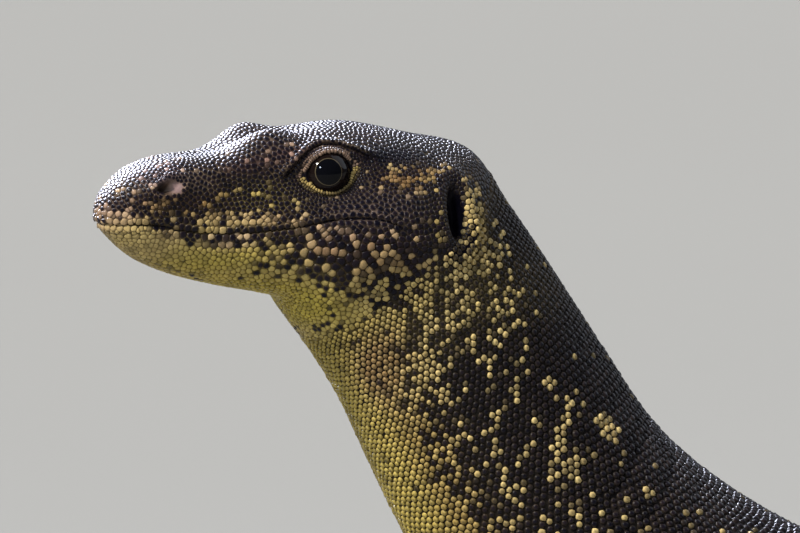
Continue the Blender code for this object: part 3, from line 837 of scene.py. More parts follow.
def shape_features(mesh):
    """The lids, lips, nostrils, ears and folds, worked on the straight body."""
    points, normals = read_points(mesh), read_normals(mesh)
    flat = unplace(points)
    both, side = left_half(flat)
    both_normals = mirrored(unit(unplace(points + normals * MM * 0.1) - flat), side)
    near = np.flatnonzero(both[:, 0] < HEAD_END)
    near = near[body_at(flat[near])[0] < FINE_REACH]
    moved = shape_folds(both, both_normals)
    some = shape_mouth(moved[near], both_normals[near])
    moved[near] = shape_eye(shape_openings(some, both_normals[near]))
    moved[:, 2] = np.maximum(moved[:, 2], FLOOR + 0.05)
    moved = mirrored(moved, side)
    changed = np.linalg.norm(moved - flat, axis=1) > 1e-4
    points[changed] = place(moved[changed])
    write_points(mesh, points)


def needs_detail(points):
    """Whether each point lies by the eyes, the lips, the nostrils or the ears."""
    both = left_half(unplace(points))[0]
    eye = eye_offsets(both)[3] < 2.4
    lips = (np.abs(both[:, 2] - mouth_height(both[:, 0])) < 3.2) & (both[:, 0] < 92)
    nostril = np.linalg.norm((both - NOSTRIL_AT) / (6.5, 6, 5), axis=1) < 1
    ear = np.linalg.norm((both - EAR_AT) / (6.5, 9, 13), axis=1) < 1
    return eye | lips | nostril | ear


def build_skin():
    """The whole skin: filled, eased, refined on the head and shaped there."""
    mesh = rough_skin()
    mesh.name = "skin"
    ease_surface(mesh)
    surface = head_surface()
    refine(mesh, lambda points: body_at(unplace(points))[0] < FINE_REACH)
    onto_head(mesh, surface)
    refine(mesh, needs_detail)
    onto_head(mesh, surface)
    points = read_points(mesh)
    share = (unplace(points)[:, 0] < HEAD_END).astype(float)
    write_points(mesh, smoothed(points, read_edges(mesh), 2, share))
    shape_features(mesh)
    mesh.shade_smooth()
    return mesh


# ---------------------------------------------------------------- shader maths

def both_ways(operation):
    """One of Python's operators as two methods: with the wire first, and with it second."""
    def first(self, other):
        return self.math(operation, self, other)

    def second(self, other):
        return self.math(operation, other, self)

    return first, second


class Wire:
    """A node's output that Python's operators work on: an expression on numbers adds its Math nodes."""

    __add__, __radd__ = both_ways("ADD")
    __sub__, __rsub__ = both_ways("SUBTRACT")
    __mul__, __rmul__ = both_ways("MULTIPLY")

    def __init__(self, graph, socket):
        self.graph, self.socket = graph, socket

    def math(self, operation, first, second):
        sockets = {"Value": first, "Value_001": second}
        return self.graph.node("ShaderNodeMath", {"operation": operation}, sockets)

    def clamped(self):
        return self.math("MINIMUM", self.math("MAXIMUM", self, 0.0), 1.0)

    def eased(self, low, high):
        """0 below low and 1 above high, smoothly."""
        settings = {"interpolation_type": "SMOOTHSTEP"}
        sockets = {"Value": self, "From Min": low, "From Max": high}
        return self.graph.node("ShaderNodeMapRange", settings, sockets)


class Graph:
    """The nodes of one material."""

    def __init__(self, material):
        material.use_nodes = True
        self.tree = material.node_tree
        self.tree.nodes.clear()

    def node(self, kind, settings=None, sockets=None, output=0):
        """Adds a node: its settings first, then its sockets' values or links, and returns one output."""
        made = self.tree.nodes.new(kind)
        for name, value in (settings or {}).items():
            setattr(made, name, value)
        found = {socket.identifier: socket for socket in made.inputs}
        for name, value in (sockets or {}).items():
            if isinstance(value, Wire):
                self.tree.links.new(value.socket, found[name])
            else:
                found[name].default_value = value
        if not made.outputs:
            return None
        outputs = {socket.identifier: socket for socket in made.outputs}
        return Wire(self, outputs[output] if isinstance(output, str) else made.outputs[output])

    def read(self, name):
        """A number kept on the mesh's points."""
        return self.node("ShaderNodeAttribute", {"attribute_name": name}, output="Fac")

    def noise(self, scale, detail=2.0, roughness=0.5):
        where = self.node("ShaderNodeTexCoord", output="Object")
        sockets = {"Vector": where, "Scale": scale, "Detail": detail, "Roughness": roughness}
        return self.node("ShaderNodeTexNoise", {}, sockets, "Fac")

    def mix(self, share, first, second):
        """One colour to another by a share."""
        sockets = {"Factor_Float": share, "A_Color": colour(first), "B_Color": colour(second)}
        return self.node("ShaderNodeMix", {"data_type": "RGBA", "blend_type": "MIX"}, sockets, "Result_Color")

    def bump(self, height, distance, strength):
        return self.node("ShaderNodeBump", {}, {"Height": height, "Distance": distance, "Strength": strength})

    def surface(self, settings):
        """The material's one shader, its own sockets set or linked by name."""
        shader = self.node("ShaderNodeBsdfPrincipled", {}, settings)
        self.node("ShaderNodeOutputMaterial", {}, {"Surface": shader})


def colour(value):
    return value if isinstance(value, Wire) else (*tuple(value)[:3], 1.0)


# ---------------------------------------------------------------- the hide's finish and markings

CLOUD_SCALE, GRAIN_SCALE, WRINKLE_SCALE = 260.0, 2600.0, 4200.0  # how many of each in a metre
BLACK = (0.0, 0.0, 0.0)


def hide_finish(name, markings, finish, sheen):
    """The finish of the skin and the scales: the mesh's own markings, uneven colour, painted edge shade and
    fine wrinkles.
    """
    made = fresh(bpy.data.materials, name)
    graph = Graph(made)
    pale, brown, yellow = graph.read("pale"), graph.read("brown"), graph.read("yellow")
    tone, rim, flesh = graph.read("tone"), graph.read("rim"), graph.read("flesh")
    cloud = graph.noise(CLOUD_SCALE, 3.0)
    grain = graph.noise(GRAIN_SCALE)
    warm = graph.mix(brown.clamped(), markings.pale, markings.brown)
    warm = graph.mix(yellow.clamped(), warm, markings.yellow)
    warm = graph.mix(flesh.clamped(), warm, markings.flesh)
    dark = graph.mix((tone * 0.45 + brown * 0.25).clamped(), markings.dark, markings.dark_brown)
    share = (pale * (1.0 + (cloud - 0.5) * 0.35 + (grain - 0.5) * 0.35) + (grain - 0.5) * 0.03).clamped()
    # Brightness: uneven tone at random, less painted shade that the rim number deepens toward each scale's
    # sunk edge and on the bare skin.
    tone_and_painted_shade = (0.74 + tone * 0.5 + (cloud - 0.5) * 0.5 - rim * 0.16).clamped()
    tint = graph.mix(tone_and_painted_shade, BLACK, graph.mix(share, dark, warm))
    rough = finish.roughness + rim * 0.10 + (cloud - 0.5) * 0.2 + (1.0 - sheen) * 0.25 + share * 0.14
    height = graph.noise(WRINKLE_SCALE, 3.0, 0.6) * 0.7 + grain * 0.5
    normal = graph.bump(height, finish.wrinkles * MM, 0.6)
    graph.surface({
        "Base Color": tint, "Roughness": rough.clamped(), "Normal": normal, "Specular IOR Level": 0.04,
        "Coat Weight": 0.5 * sheen, "Coat Roughness": 0.24, "Coat IOR": 1.3,
    })
    return made


# Markings of the head and the front of the neck, with painted shade by the ear: a centre, its reach, then
# the share of pale scales there, how pale the rims of the dark ones are, and how far the pale colour leans
# to brown, to yellow and to flesh.
# Later ones lie over earlier ones.
HEAD_MARKS = {
    "crown": ((60, 0, 290), (70, 19, 9), (0.02, 0.45, 0.40, 0.0, 0.55)),
    "back of the head": ((118, 0, 280), (22, 26, 14), (0.04, 0.26, 0.4, 0.1, 0.1)),
    "canthus": ((44, 13.5, 279.5), (13, 4, 3), (0.16, 0.6, 1.0, 0.0, 0.3)),
    "front of the brow": ((60, 15, 282.5), (11, 4, 2.6), (0.26, 0.7, 1.0, 0.0, 0.35)),
    "snout sides": ((24, 14, 268), (24, 8, 7), (0.34, 0.6, 1.0, 0.1, 0.0)),
    "behind the nostril": ((28, 11.5, 276), (6, 5, 3.5), (0.06, 0.7, 0.4, 0.0, 0.3)),
    "over the nostril": ((16, 8, 279), (9, 6, 5), (0.25, 0.6, 0.3, 0.0, 0.85)),
    "snout tip": ((3, 5, 266), (8, 9, 7), (0.42, 0.6, 0.8, 0.1, 0.4)),
    "in front of the eye": ((49, 17, 269), (12, 8, 6), (0.20, 0.5, 0.4, 0.45, 0.0)),
    "upper lip": ((42, 18, 263.5), (26, 10, 2.6), (0.48, 0.6, 0.75, 0.15, 0.2)),
    "lower jaw": ((22, 12, 254), (34, 14, 8), (0.80, 0.6, 0.45, 0.75, 0.0)),
    "front of the lower jaw": ((8, 8, 256), (13, 12, 7), (0.96, 0.85, 0.30, 0.45, 0.1)),
    "throat": ((50, 0, 237), (60, 28, 11), (0.985, 0.95, 0.1, 0.95, 0.0)),
    "dark of the lip": ((20, 12, 262), (6, 6, 4), (0.22, 0.25, 0.5, 0.0, 0.0)),
    "dark of the jaw": ((37, 15, 258), (9, 6, 2.6), (0.42, 0.35, 0.5, 0.0, 0.2)),
    "corner of the jaw": ((70, 25, 257), (15, 9, 6), (0.50, 0.22, 0.85, 0.15, 0.15)),
    "under the cheek": ((83, 27, 251), (13, 11, 7), (0.52, 0.2, 0.85, 0.15, 0.1)),
    "below the cheek": ((86, 26, 240), (11, 10, 7), (0.46, 0.1, 0.4, 0.3, 0.0)),
    "cheek": ((80, 25, 266), (15, 9, 6), (0.02, 0.45, 0.2, 0.0, 0.6)),
    "temple": ((93, 21, 273.6), (15, 9, 4.2), (0.60, 0.5, 1.0, 0.1, 0.0)),
    "stripe behind the eye": ((90, 20, 280.5), (15, 8, 3.0), (0.0, 0.04, 0.1, 0.0, 0.0)),
    "round the eye": ((70, 18, 275), (11, 6, 6.5), (0.0, 0.12, 0.3, 0.0, 0.2)),
    "front of the ear": ((101, 27, 262), (4, 8, 11), (0.30, 0.3, 0.5, 0.25, 0.0)),
    # Painted shade: the scales at the edge of the ear's hollow are made dark.
    "ear": ((107, 27, 262), (3, 9, 10), (0.03, 0.1, 0.3, 0.0, 0.0)),
    "behind the ear": ((115.5, 24, 259), (4.2, 10, 13), (0.78, 0.7, 0.35, 0.2, 0.0)),
    "band under the ear": ((106.5, 27, 241), (5, 10, 9), (0.60, 0.2, 0.15, 0.15, 0.0)),
    "band of the neck": ((101, 26, 227.5), (5, 10, 8), (0.56, 0.2, 0.15, 0.15, 0.0)),
    "end of the band": ((94, 21, 212), (5, 10, 9), (0.60, 0.2, 0.25, 0.2, 0.0)),
    "brown of the neck": ((86, 18, 216), (7, 9, 12), (0.92, 0.25, 0.75, 0.1, 0.0)),
}
HEAD_BASE = (0.06, 0.25, 0.45, 0.1, 0.1)
SMOOTH_JAW = (14, 10, 255), (20, 14, 9)  # where the lower jaw's scales lie nearly flat: its centre and reach

# Markings round the body, from the middle of the back (0) to the middle of the belly (1).
ROUND_NECK = {
    "at": (0.0, 0.16, 0.30, 0.42, 0.55, 0.66, 0.74, 0.80, 0.88, 1.0),
    "share": (0.02, 0.04, 0.10, 0.22, 0.30, 0.38, 0.52, 0.80, 0.96, 1.0),
    "brown": (0.3, 0.3, 0.2, 0.15, 0.2, 0.3, 0.65, 0.75, 0.4, 0.2),
    "yellow": (0.0, 0.05, 0.1, 0.12, 0.12, 0.15, 0.25, 0.35, 0.65, 0.75),
}
ROUND_TRUNK = {
    "at": (0.0, 0.5, 0.62, 0.70, 0.78, 0.86, 1.0),
    "share": (0.04, 0.05, 0.12, 0.40, 0.80, 0.96, 0.98),
    "brown": (0.3, 0.3, 0.35, 0.35, 0.25, 0.15, 0.1),
    "yellow": (0.4, 0.4, 0.4, 0.4, 0.45, 0.45, 0.45),
}
ROUND_RIMS = (0, 0.6, 0.84, 0.92), (0.03, 0.06, 0.15, 0.7)  # how far round, and how pale the rims are there
SPOT_ROW, SPOT_STEP = 38.0, 25.0  # from row to row of eyed spots, and from spot to spot in a row
SPOT_LEAST, SPOT_SPREAD, SPOT_FILLED = 3.2, 6.4, 0.62
NECK_SPOTS = 1.7  # how many times finer the neck's spots are
TAIL_BAND, TAIL_DARK = 46.0, 0.70  # the tail's bands, and how much of each is dark


def wave_field(points, length, seed):
    """A smooth uneven field over points in millimetres, spread evenly over 0 to 1."""
    draw = np.random.default_rng(seed)
    total = np.zeros(len(points))
    ways = unit(draw.normal(size=(14, 3)))
    for way, phase, scale in zip(ways, draw.uniform(0, 2 * math.pi, 14), draw.uniform(0.75, 1.6, 14)):
        total += np.cos(points @ way * (2 * math.pi / length * scale) + phase)
    return 1 / (1 + np.exp(-1.7 * total / math.sqrt(7)))


def round_marks(table, low):
    """The markings that only depend on how far round the body a point is."""
    share, brown, yellow = (np.interp(low, table["at"], table[word]) for word in ("share", "brown", "yellow"))
    return columns(share, np.interp(low, *ROUND_RIMS), brown, yellow, 0.0)


def tail_marks(places):
    """The tail's pale bands, which fade toward its end, and its pale underside near the vent."""
    phase = np.mod(places.along + 3 * np.sin(places.angle * 2), TAIL_BAND) / TAIL_BAND
    band = ease(TAIL_DARK - 0.06, TAIL_DARK + 0.04, phase) * (1 - ease(0.93, 1.0, phase))
    thick, middle, end = (length_of(rib) for rib in ("tail_thick", "tail_middle", "tail_end"))
    under = ease(0.72, 0.9, places.low) * (1 - ease(thick, middle, places.along))
    fade = 1 - 0.55 * ease(middle, end, places.along)
    return columns(np.maximum(0.62 * band * fade, under * 0.85), 0.08, 0.3, 0.45, 0.0)


def leg_marks(places):
    """The legs' few pale scales: more on the soles, fewer on the toes."""
    sole = ease(0.0, -0.75, np.sin(places.angle))
    marks = columns(0.14 + 0.3 * sole, 0.06 + 0.2 * sole, 0.3, 0.45, 0.0)
    marks[places.part > len(LEGS), 0] *= 0.55
    return marks


def spots(along, arc, seed):
    """Rows of eyed spots: how far each point belongs to the pale ring of one."""
    row = np.round(along / SPOT_ROW)
    best, filled = np.full(len(along), 9.0), np.zeros(len(along))
    for near_row in (row - 1, row, row + 1):
        shift = 0.5 * (near_row % 2)
        column = np.round(arc / SPOT_STEP - shift)
        for near_column in (column - 1, column, column + 1):
            code = near_row * 57.31 + near_column * 131.17 + seed  # each spot's own number, for its form
            wobble = [np.mod(np.sin(code * factor) * 43758.5, 1.0) for factor in (1.0, 1.7, 2.3, 3.1)]
            away_along = along - near_row * SPOT_ROW - (wobble[0] - 0.5) * 7
            away_arc = arc - (near_column + shift) * SPOT_STEP - (wobble[1] - 0.5) * 8
            away = np.hypot(away_along, away_arc * 0.9) / (SPOT_LEAST + SPOT_SPREAD * wobble[2])
            filled = np.where(away < best, wobble[3] > SPOT_FILLED, filled)
            best = np.minimum(best, away)
    return ease(1.25, 0.95, best) * (1 - (0.95 - 0.8 * filled) * ease(0.65, 0.4, best))


def markings(places):
    """How pale each point and its rims are, its lean to brown, yellow and flesh, and its share of a spot."""
    behind = ease(HEAD_REACH - 10, HEAD_REACH + 8, places.along)[:, None]
    past_neck = ease(length_of("neck_lower"), length_of("chest"), places.along)[:, None]
    tail = ease(length_of("vent"), length_of("tail_root") + 40, places.along)[:, None]
    values = np.array(HEAD_BASE) * (1 - behind) + round_marks(ROUND_NECK, places.low) * behind
    for centre, reach, target in HEAD_MARKS.values():
        near = np.minimum(1.5 * patch(places.both, centre, reach), 1)[:, None]
        values += near * (np.array(target) - values)
    values = values * (1 - past_neck) + round_marks(ROUND_TRUNK, places.low) * past_neck
    values += tail * (tail_marks(places) - values)
    limb = places.part > 0
    values = np.where(limb[:, None], leg_marks(places), values)
    arc = places.angle * np.maximum(read_line(places.along, 4), 4.0)
    on_neck = spots(places.along * NECK_SPOTS, arc * NECK_SPOTS, 9.0) * 0.55
    on_neck = on_neck * behind[:, 0] * (1 - past_neck[:, 0])
    on_neck *= ease(0.62, 0.50, places.low) * ease(0.18, 0.30, places.low)
    on_trunk = spots(places.along, arc, 3.0) * past_neck[:, 0] * (1 - tail[:, 0]) * 0.9
    on_trunk *= ease(0.80, 0.66, places.low) * ease(0.04, 0.12, places.low)
    return np.column_stack([values, np.maximum(on_trunk, on_neck) * (1 - limb)])


def pale_of(values, luck):
    """How pale a thing is from its markings and a number drawn for it."""
    share = np.maximum(values[:, 0], values[:, 5])
    return 1 - ease(share - 0.10, share + 0.06, luck)


def skin_values(places):
    """The bare skin's markings, which show between the scales, with painted shade by the ear, mouth and
    nostrils.
    """
    values, both = markings(places), places.both
    field = wave_field(places.flat, 5.0, 11)
    head = 1 - ease(HEAD_REACH - 4, HEAD_REACH, places.along)
    pale = 0.75 * values[:, 1] * (0.6 + 0.4 * field) * (1 - 0.75 * ease(0.8, 0.97, values[:, 0]))
    pale = np.maximum(pale, 0.6 * patch(both, *SMOOTH_JAW) * head)
    # Painted shade: the bare skin in and round the ear's hollow, and in the gaps between the scales beside
    # it, is made dark.
    ear = np.minimum(3.0 * patch(both, EAR_AT, (8.0, 12.0, 13.0)), 1)
    # Painted shade: the skin along the mouth's groove is darkened.
    groove = bell(both[:, 2] - mouth_height(both[:, 0]), 0, 0.6) * (both[:, 0] < 91)
    pale = pale * (1 - ear) * (1 - 0.7 * groove * head)
    fold = patch(both, NOSTRIL_AT + (2.4, 0, 0), (3.2, 5.0, 3.2)) * head
    # Painted shade: the front of the nostril's pit is made dark.
    nostril_pit_shade = patch(both, NOSTRIL_AT - (2.4, 0, 0), (2.0, 5.0, 2.2)) * head
    pale = np.maximum(pale, fold * 0.95) * (1 - 0.95 * nostril_pit_shade)
    inner = (eye_offsets(both)[3] < LIDS_OPEN) & (both[:, 0] < 90) & (head > 0.5)
    # The rim number is 1 all over the skin, so the bare skin between the scales takes the full painted shade
    # of the finish.
    return {
        "pale": np.where(inner, 0.01, pale), "brown": values[:, 2], "yellow": values[:, 3] * (1 - fold),
        "flesh": np.maximum(values[:, 4], fold), "tone": 0.35 * field, "rim": np.ones(len(pale)),
    }


# ---------------------------------------------------------------- where the scales grow

# Scale sizes on the head: a centre, its reach and the size there, later ones over earlier ones. Millimetres.
HEAD_SIZES = {
    "snout top": ((25, 0, 284), (26, 14, 8), 1.5),
    "over the eyes": ((66, 11, 289), (14, 7, 7), 1.75),
    "crown": ((86, 0, 290), (22, 18, 8), 1.6),
    "canthus": ((46, 14, 280), (22, 5, 3.5), 1.6),
    "lower jaw": ((30, 14, 252), (40, 12, 8), 2.0),
    "cheek": ((83, 25, 265), (11, 9, 6), 2.2),
    "corner of the jaw": ((72, 23, 252), (18, 10, 7), 2.9),
    "temple": ((92, 24, 276), (14, 8, 7), 1.45),
    "throat": ((62, 0, 233), (45, 24, 9), 1.65),
    "nostril": ((18.5, 12, 275.5), (5.5, 5, 4), 0.95),
    "eye": ((69.5, 18, 275.5), (11.5, 6, 7.5), 0.95),
    "ear": ((108.4, 27, 262), (5, 8, 11), 1.2),
}
HEAD_SIZE = 1.7

# Rows of scales from the neck back: their size along and across the body at some ribs. Millimetres.
ROWS = (
    ("occiput", 2.0, 1.95), ("neck_upper", 2.2, 2.1), ("neck_lower", 2.5, 2.4), ("chest", 3.2, 3.0),
    ("belly", 3.6, 3.2), ("vent", 3.6, 3.0), ("tail_root", 3.7, 2.8), ("tail_thick", 3.7, 2.5),
    ("tail_middle", 3.4, 2.2), ("tail_thin", 2.9, 1.8), ("tail_tip", 2.2, 1.3),
)
LEG_SIZE, FOOT_SIZE, TOE_SIZE = 2.5, 2.1, 1.75
HEX = math.sqrt(0.75)
LIP_STEP = 2.2
# Rows of scales along the lips: how far above the mouth line, and their size as a share of the lips' step.
LIP_ROWS = ((1.1, 1.0), (-1.15, 1.0), (3.3, 1.05), (-3.5, 1.1))
LIP_CENTRE, LIP_OUTSIDE, LIP_END = 22, 60, 88  # lips are sought from outside: round a centre, then back
LIP_FRONT = 10.0  # where the mouth line gives the height of the rows round the front
# Rows of beads on the upper and the lower lid: how far from its edge, the step along it and a bead's length.
LID_ROWS = (
    ((1.0, 0.72, 1.15), (2.45, 0.85, 1.1), (3.5, 1.0, 1.1)),
    ((0.9, 0.85, 1.1), (2.15, 0.95, 1.05), (3.2, 1.05, 1.1)),
)
HEAD_KIND, LIP_KIND, LID_KIND, NECK_KIND, LEG_KIND, TOE_KIND, TRUNK_KIND, BELLY_KIND, TAIL_KIND = range(9)
COVER = 0.95  # the share of the head's even cover that is drawn at first
RELAX_ROUNDS, RELAX_ROOM, RELAX_PUSH = 16, 1.12, 0.4  # how scales are pushed apart: rounds, room and force
CROWDED, BARE, APART = 0.56, 0.88, 0.86  # how close scales may stand and how gaps are filled, in their sizes
LOOSENESS = 0.065  # how far a scale strays from its row, as a share of its size


class Surface:
    """The finished skin: its nearest place to any point, and the smooth normal there."""

    def __init__(self, mesh):
        mesh.calc_loop_triangles()
        self.points, self.normals = read_points(mesh), read_normals(mesh)
        self.faces = read_values(mesh.loop_triangles, "vertices", 3)
        self.tree = BVHTree.FromPolygons(self.points.tolist(), self.faces.tolist())
        self.places = Places(self.points)

    def nearest(self, points):
        found = [self.tree.find_nearest(Vector(point)) for point in points]
        at = np.array([tuple(hit[0]) for hit in found])
        normal = unit(self.normals[self.faces[[hit[2] for hit in found]]].sum(axis=1))
        return at, normal, np.linalg.norm(at - points, axis=1)


def near_indices(points, tree_points, count):
    """The nearest of the tree's points to each point."""
    tree = KDTree(len(tree_points))
    for i, point in enumerate(tree_points):
        tree.insert(point, i)
    tree.balance()
    return np.array([[hit[1] for hit in tree.find_n(point, count)] for point in points])


def head_size(both):
    size = np.full(len(both), HEAD_SIZE)
    for centre, reach, target in HEAD_SIZES.values():
        size += np.minimum(1.5 * patch(both, centre, reach), 1) * (target - size)
    return size


def mirror_pair(points):
    return np.concatenate([points, points * (1, -1, 1)])


def evenly(line, step):
    """Points a step apart along a line through many points."""
    lengths = distances(line)
    return points_along(line, lengths, np.arange(step / 2, lengths[-1], step))


def lip_rows(surface):
    """Rows of larger scales along the two lips, running round the front of the snout."""
    turns = np.linspace(0, math.pi / 2, 60)
    rear = np.arange(LIP_CENTRE, LIP_END, 0.5)
    back = np.concatenate([LIP_CENTRE - LIP_OUTSIDE * np.cos(turns), rear])
    aside = np.concatenate([LIP_OUTSIDE * np.sin(turns), np.full(len(rear), float(LIP_OUTSIDE))])
    inner = np.concatenate([np.full(len(turns), float(LIP_CENTRE)), rear])
    high = mouth_height(np.concatenate([np.full(len(turns), LIP_FRONT), rear]))
    points, sizes = [], []
    for above, share in LIP_ROWS:
        starts = place(columns(back, aside, high + above))
        ways = unit(place(columns(inner, 0.0, high + above)) - starts)
        hits = [surface.tree.ray_cast(Vector(start), Vector(way))[0] for start, way in zip(starts, ways)]
        points.append(evenly(np.array(hits) / MM, LIP_STEP * share) * MM)
        sizes.append(np.full(len(points[-1]), LIP_STEP * share))
    points, sizes = np.concatenate(points), np.concatenate(sizes)
    return np.concatenate([points, place(unplace(points) * (1, -1, 1))]), np.concatenate([sizes, sizes])


def lid_rows():
    """Rows of small beads along the edges of the lids."""
    points, sizes = [], []
    for half, rows in enumerate(LID_ROWS):
        turns = np.linspace(0.04, math.pi - 0.04, 181) + half * math.pi
        high = np.sin(turns) * LID_HIGH / np.sqrt(1 + LID_POINT * np.cos(turns) ** 2)
        across = np.hypot(np.cos(turns) * LID_HALF, high)
        for away, step, long in rows:
            row = evenly(lid_point(turns, 1 + away / across), step)
            points.append(mirror_pair(row))
            sizes.append(np.full(2 * len(row), long))
    return place(np.concatenate(points)), np.concatenate(sizes)


def closed_to_scales(both):
    """Where no scale grows: in the eye opening, in the nostrils and ears, and between the lips."""
    eye = (eye_offsets(both)[3] < LIDS_OPEN) & (np.abs(both[:, 0] - EYE_AT[0]) < 12)
    lips = (np.abs(both[:, 2] - mouth_height(both[:, 0])) < 0.25) & (both[:, 0] < 86)
    return eye | lips | (nostril_ring(both) < 1.0) | (ear_ring(both) < 0.8)


def relaxed(points, sizes, fixed, fixed_sizes, surface):
    """Points pushed apart over the skin until each has the room of its size."""
    for _ in range(RELAX_ROUNDS):
        everything = np.concatenate([points, fixed])
        every_size = np.concatenate([sizes, fixed_sizes])
        near = near_indices(points, everything, 8)[:, 1:]
        away = (points[:, None] - everything[near]) / MM
        apart = np.maximum(np.linalg.norm(away, axis=2), 1e-3)
        want = (sizes[:, None] + every_size[near]) / 2 * RELAX_ROOM
        push = np.maximum(want - apart, 0) * RELAX_PUSH
        points = points + (away / apart[..., None] * push[..., None]).sum(axis=1) * MM * 0.6
        points = surface.nearest(points)[0]
        sizes = head_size(left_half(unplace(points))[0])
    return points, sizes


def head_seeds(surface, draw):
    """Where the head's scales grow: rows on the lips and lids, and even cover of their own size elsewhere."""
    corners = surface.points[surface.faces] / MM
    area = np.linalg.norm(np.cross(corners[:, 1] - corners[:, 0], corners[:, 2] - corners[:, 0]), axis=1) / 2
    middle = corners.mean(axis=1) * MM
    both = left_half(unplace(middle))[0]
    inside = surface.places.along[surface.faces].mean(axis=1) < HEAD_REACH
    inside &= (surface.places.part[surface.faces] == 0).all(axis=1) & ~closed_to_scales(both)
    weight = np.where(inside, area / (HEX * head_size(both) ** 2), 0)
    chosen = draw.choice(len(weight), int(weight.sum() * COVER), replace=False, p=weight / weight.sum())
    lips, lip_sizes = lip_rows(surface)
    lids, lid_sizes = lid_rows()
    fixed = surface.nearest(np.concatenate([lips, lids]))[0]
    fixed_sizes = np.concatenate([lip_sizes, lid_sizes])
    points, sizes = relaxed(middle[chosen], head_size(both[chosen]), fixed, fixed_sizes, surface)
    clear = ~closed_to_scales(left_half(unplace(points))[0])
    points, sizes = points[clear], sizes[clear]
    counts = (len(lips), len(lids), len(points))
    return {
        "at": np.concatenate([fixed, points]), "size": np.concatenate([fixed_sizes, sizes]),
        "lie": unit(np.tile(place([(1, 0, 0)])[0] - place([(0, 0, 0)])[0], (sum(counts), 1))),
        "kind": np.repeat((LIP_KIND, LID_KIND, HEAD_KIND), counts),
    }


def row_places(start, end, size):
    """Distances from start on, a row of scales apart, to the first one at the end or past it."""
    at = [start]
    while at[-1] < end:
        at.append(at[-1] + HEX * float(size(at[-1])))
    return np.array(at)


def ring_lattice(rings, next_rings, sizes_across):
    """Staggered points round each ring, with the way back along the limb at each."""
    points, lies, sizes = [], [], []
    count = 0
    for k, (ring, following, size) in enumerate(zip(rings, next_rings, sizes_across)):
        closed = np.concatenate([ring, ring[:1]])
        lengths = distances(closed)
        wanted = lengths[-1] / size
        if abs(wanted - count) > 0.05 * wanted:
            count = max(int(round(wanted)), 5)
        at = (np.arange(count) + 0.5 * (k % 2)) / count * lengths[-1]
        here = points_along(closed, lengths, at)
        points.append(here)
        lies.append(points_along(np.concatenate([following, following[:1]]), lengths, at) - here)
        sizes.append(np.full(count, size))
    return np.concatenate(points), unit(np.concatenate(lies)), np.concatenate(sizes)


def body_seeds():
    """Rows of scales round the neck, the trunk and the tail."""
    along = row_places(HEAD_REACH + 1.0, BODY_LENGTH - 2.5, lambda at: by_rib(ROWS, at))
    here, there = (place_rings(skin_rings(at, 128)) / MM for at in (along, along + 1.0))
    points, lies, sizes = ring_lattice(here, there, by_rib(ROWS, along, 2))
    draw = np.random.default_rng(33)
    points += np.clip(draw.normal(size=points.shape), -2, 2) * sizes[:, None] * LOOSENESS
    sizes *= draw.uniform(0.90, 1.10, len(sizes))
    return {"at": points * MM, "size": sizes, "lie": lies, "kind": np.full(len(points), NECK_KIND)}


def rings_between(rings, lengths, at):
    """Rings read between a limb's own, at distances along it."""
    low = np.clip(np.searchsorted(lengths, at, side="right") - 1, 0, len(lengths) - 2)
    share = ((at - lengths[low]) / (lengths[low + 1] - lengths[low]))[:, None, None]
    return rings[low] * (1 - share) + rings[low + 1] * share


def limb_seeds(name):
    """Rows of scales round a leg and its toes."""
    for k, (line, wide, thick, across) in enumerate(limb_lines(name, TOE_STEPS)):
        if k == 0:
            kind, start, first, last = LEG_KIND, 14.0, LEG_SIZE, FOOT_SIZE
            wide, thick = wide - LEG_DEPTH, thick - LEG_DEPTH
        else:
            kind, start, first, last = TOE_KIND, 3.0, TOE_SIZE, TOE_SIZE * 0.9
            wide, thick = wide - TOE_DEPTH, (thick - TOE_DEPTH) * TOE_FLATNESS
        rings = line_rings(line, wide, thick, 64, across)
        lengths = distances(line)
        ends = (0, lengths[-1])
        at = row_places(start, ends[1], lambda at: np.interp(at, ends, (first, last)))[:-1]
        root = leg_root(name)
        here, there = (place_rings(rings_between(rings, lengths, far), root) / MM for far in (at, at + 0.5))
        points, lies, sizes = ring_lattice(here, there, np.interp(at, ends, (first, last)))
        yield {"at": points * MM, "size": sizes, "lie": lies, "kind": np.full(len(points), kind)}


def gathered(groups):
    return {key: np.concatenate([group[key] for group in groups]) for key in groups[0]}


def picked(seeds, chosen):
    return {key: values[chosen] for key, values in seeds.items()}


def thinned(seeds):
    """Leaves out the scales that stand too close to one listed before them."""
    near = near_indices(seeds["at"], seeds["at"], 6)
    apart = np.linalg.norm(seeds["at"][near] - seeds["at"][:, None], axis=2) / MM
    want = (seeds["size"][near] + seeds["size"][:, None]) / 2 * CROWDED
    own = np.arange(len(near))[:, None]
    return picked(seeds, ~((apart < want) & (near < own)).any(axis=1))


def filling(seeds, surface, draw):
    """More scales wherever the skin is still bare."""
    middle = surface.points[surface.faces].mean(axis=1)
    chosen = np.flatnonzero(~closed_to_scales(left_half(unplace(middle))[0]))
    middle = middle[chosen[draw.permutation(len(chosen))]]
    near = near_indices(middle, seeds["at"], 1)[:, 0]
    bare = np.linalg.norm(seeds["at"][near] - middle, axis=1) / MM > BARE * seeds["size"][near]
    spare, near = middle[bare], near[bare]
    sizes = seeds["size"][near]
    kept = []
    for i in range(len(spare)):
        if not kept or np.min(np.linalg.norm(spare[kept] - spare[i], axis=1)) > APART * sizes[i] * MM:
            kept.append(i)
    kind = np.where(seeds["kind"] < NECK_KIND, HEAD_KIND, seeds["kind"])[near]
    return {"at": spare[kept], "size": sizes[kept], "lie": seeds["lie"][near][kept], "kind": kind[kept]}


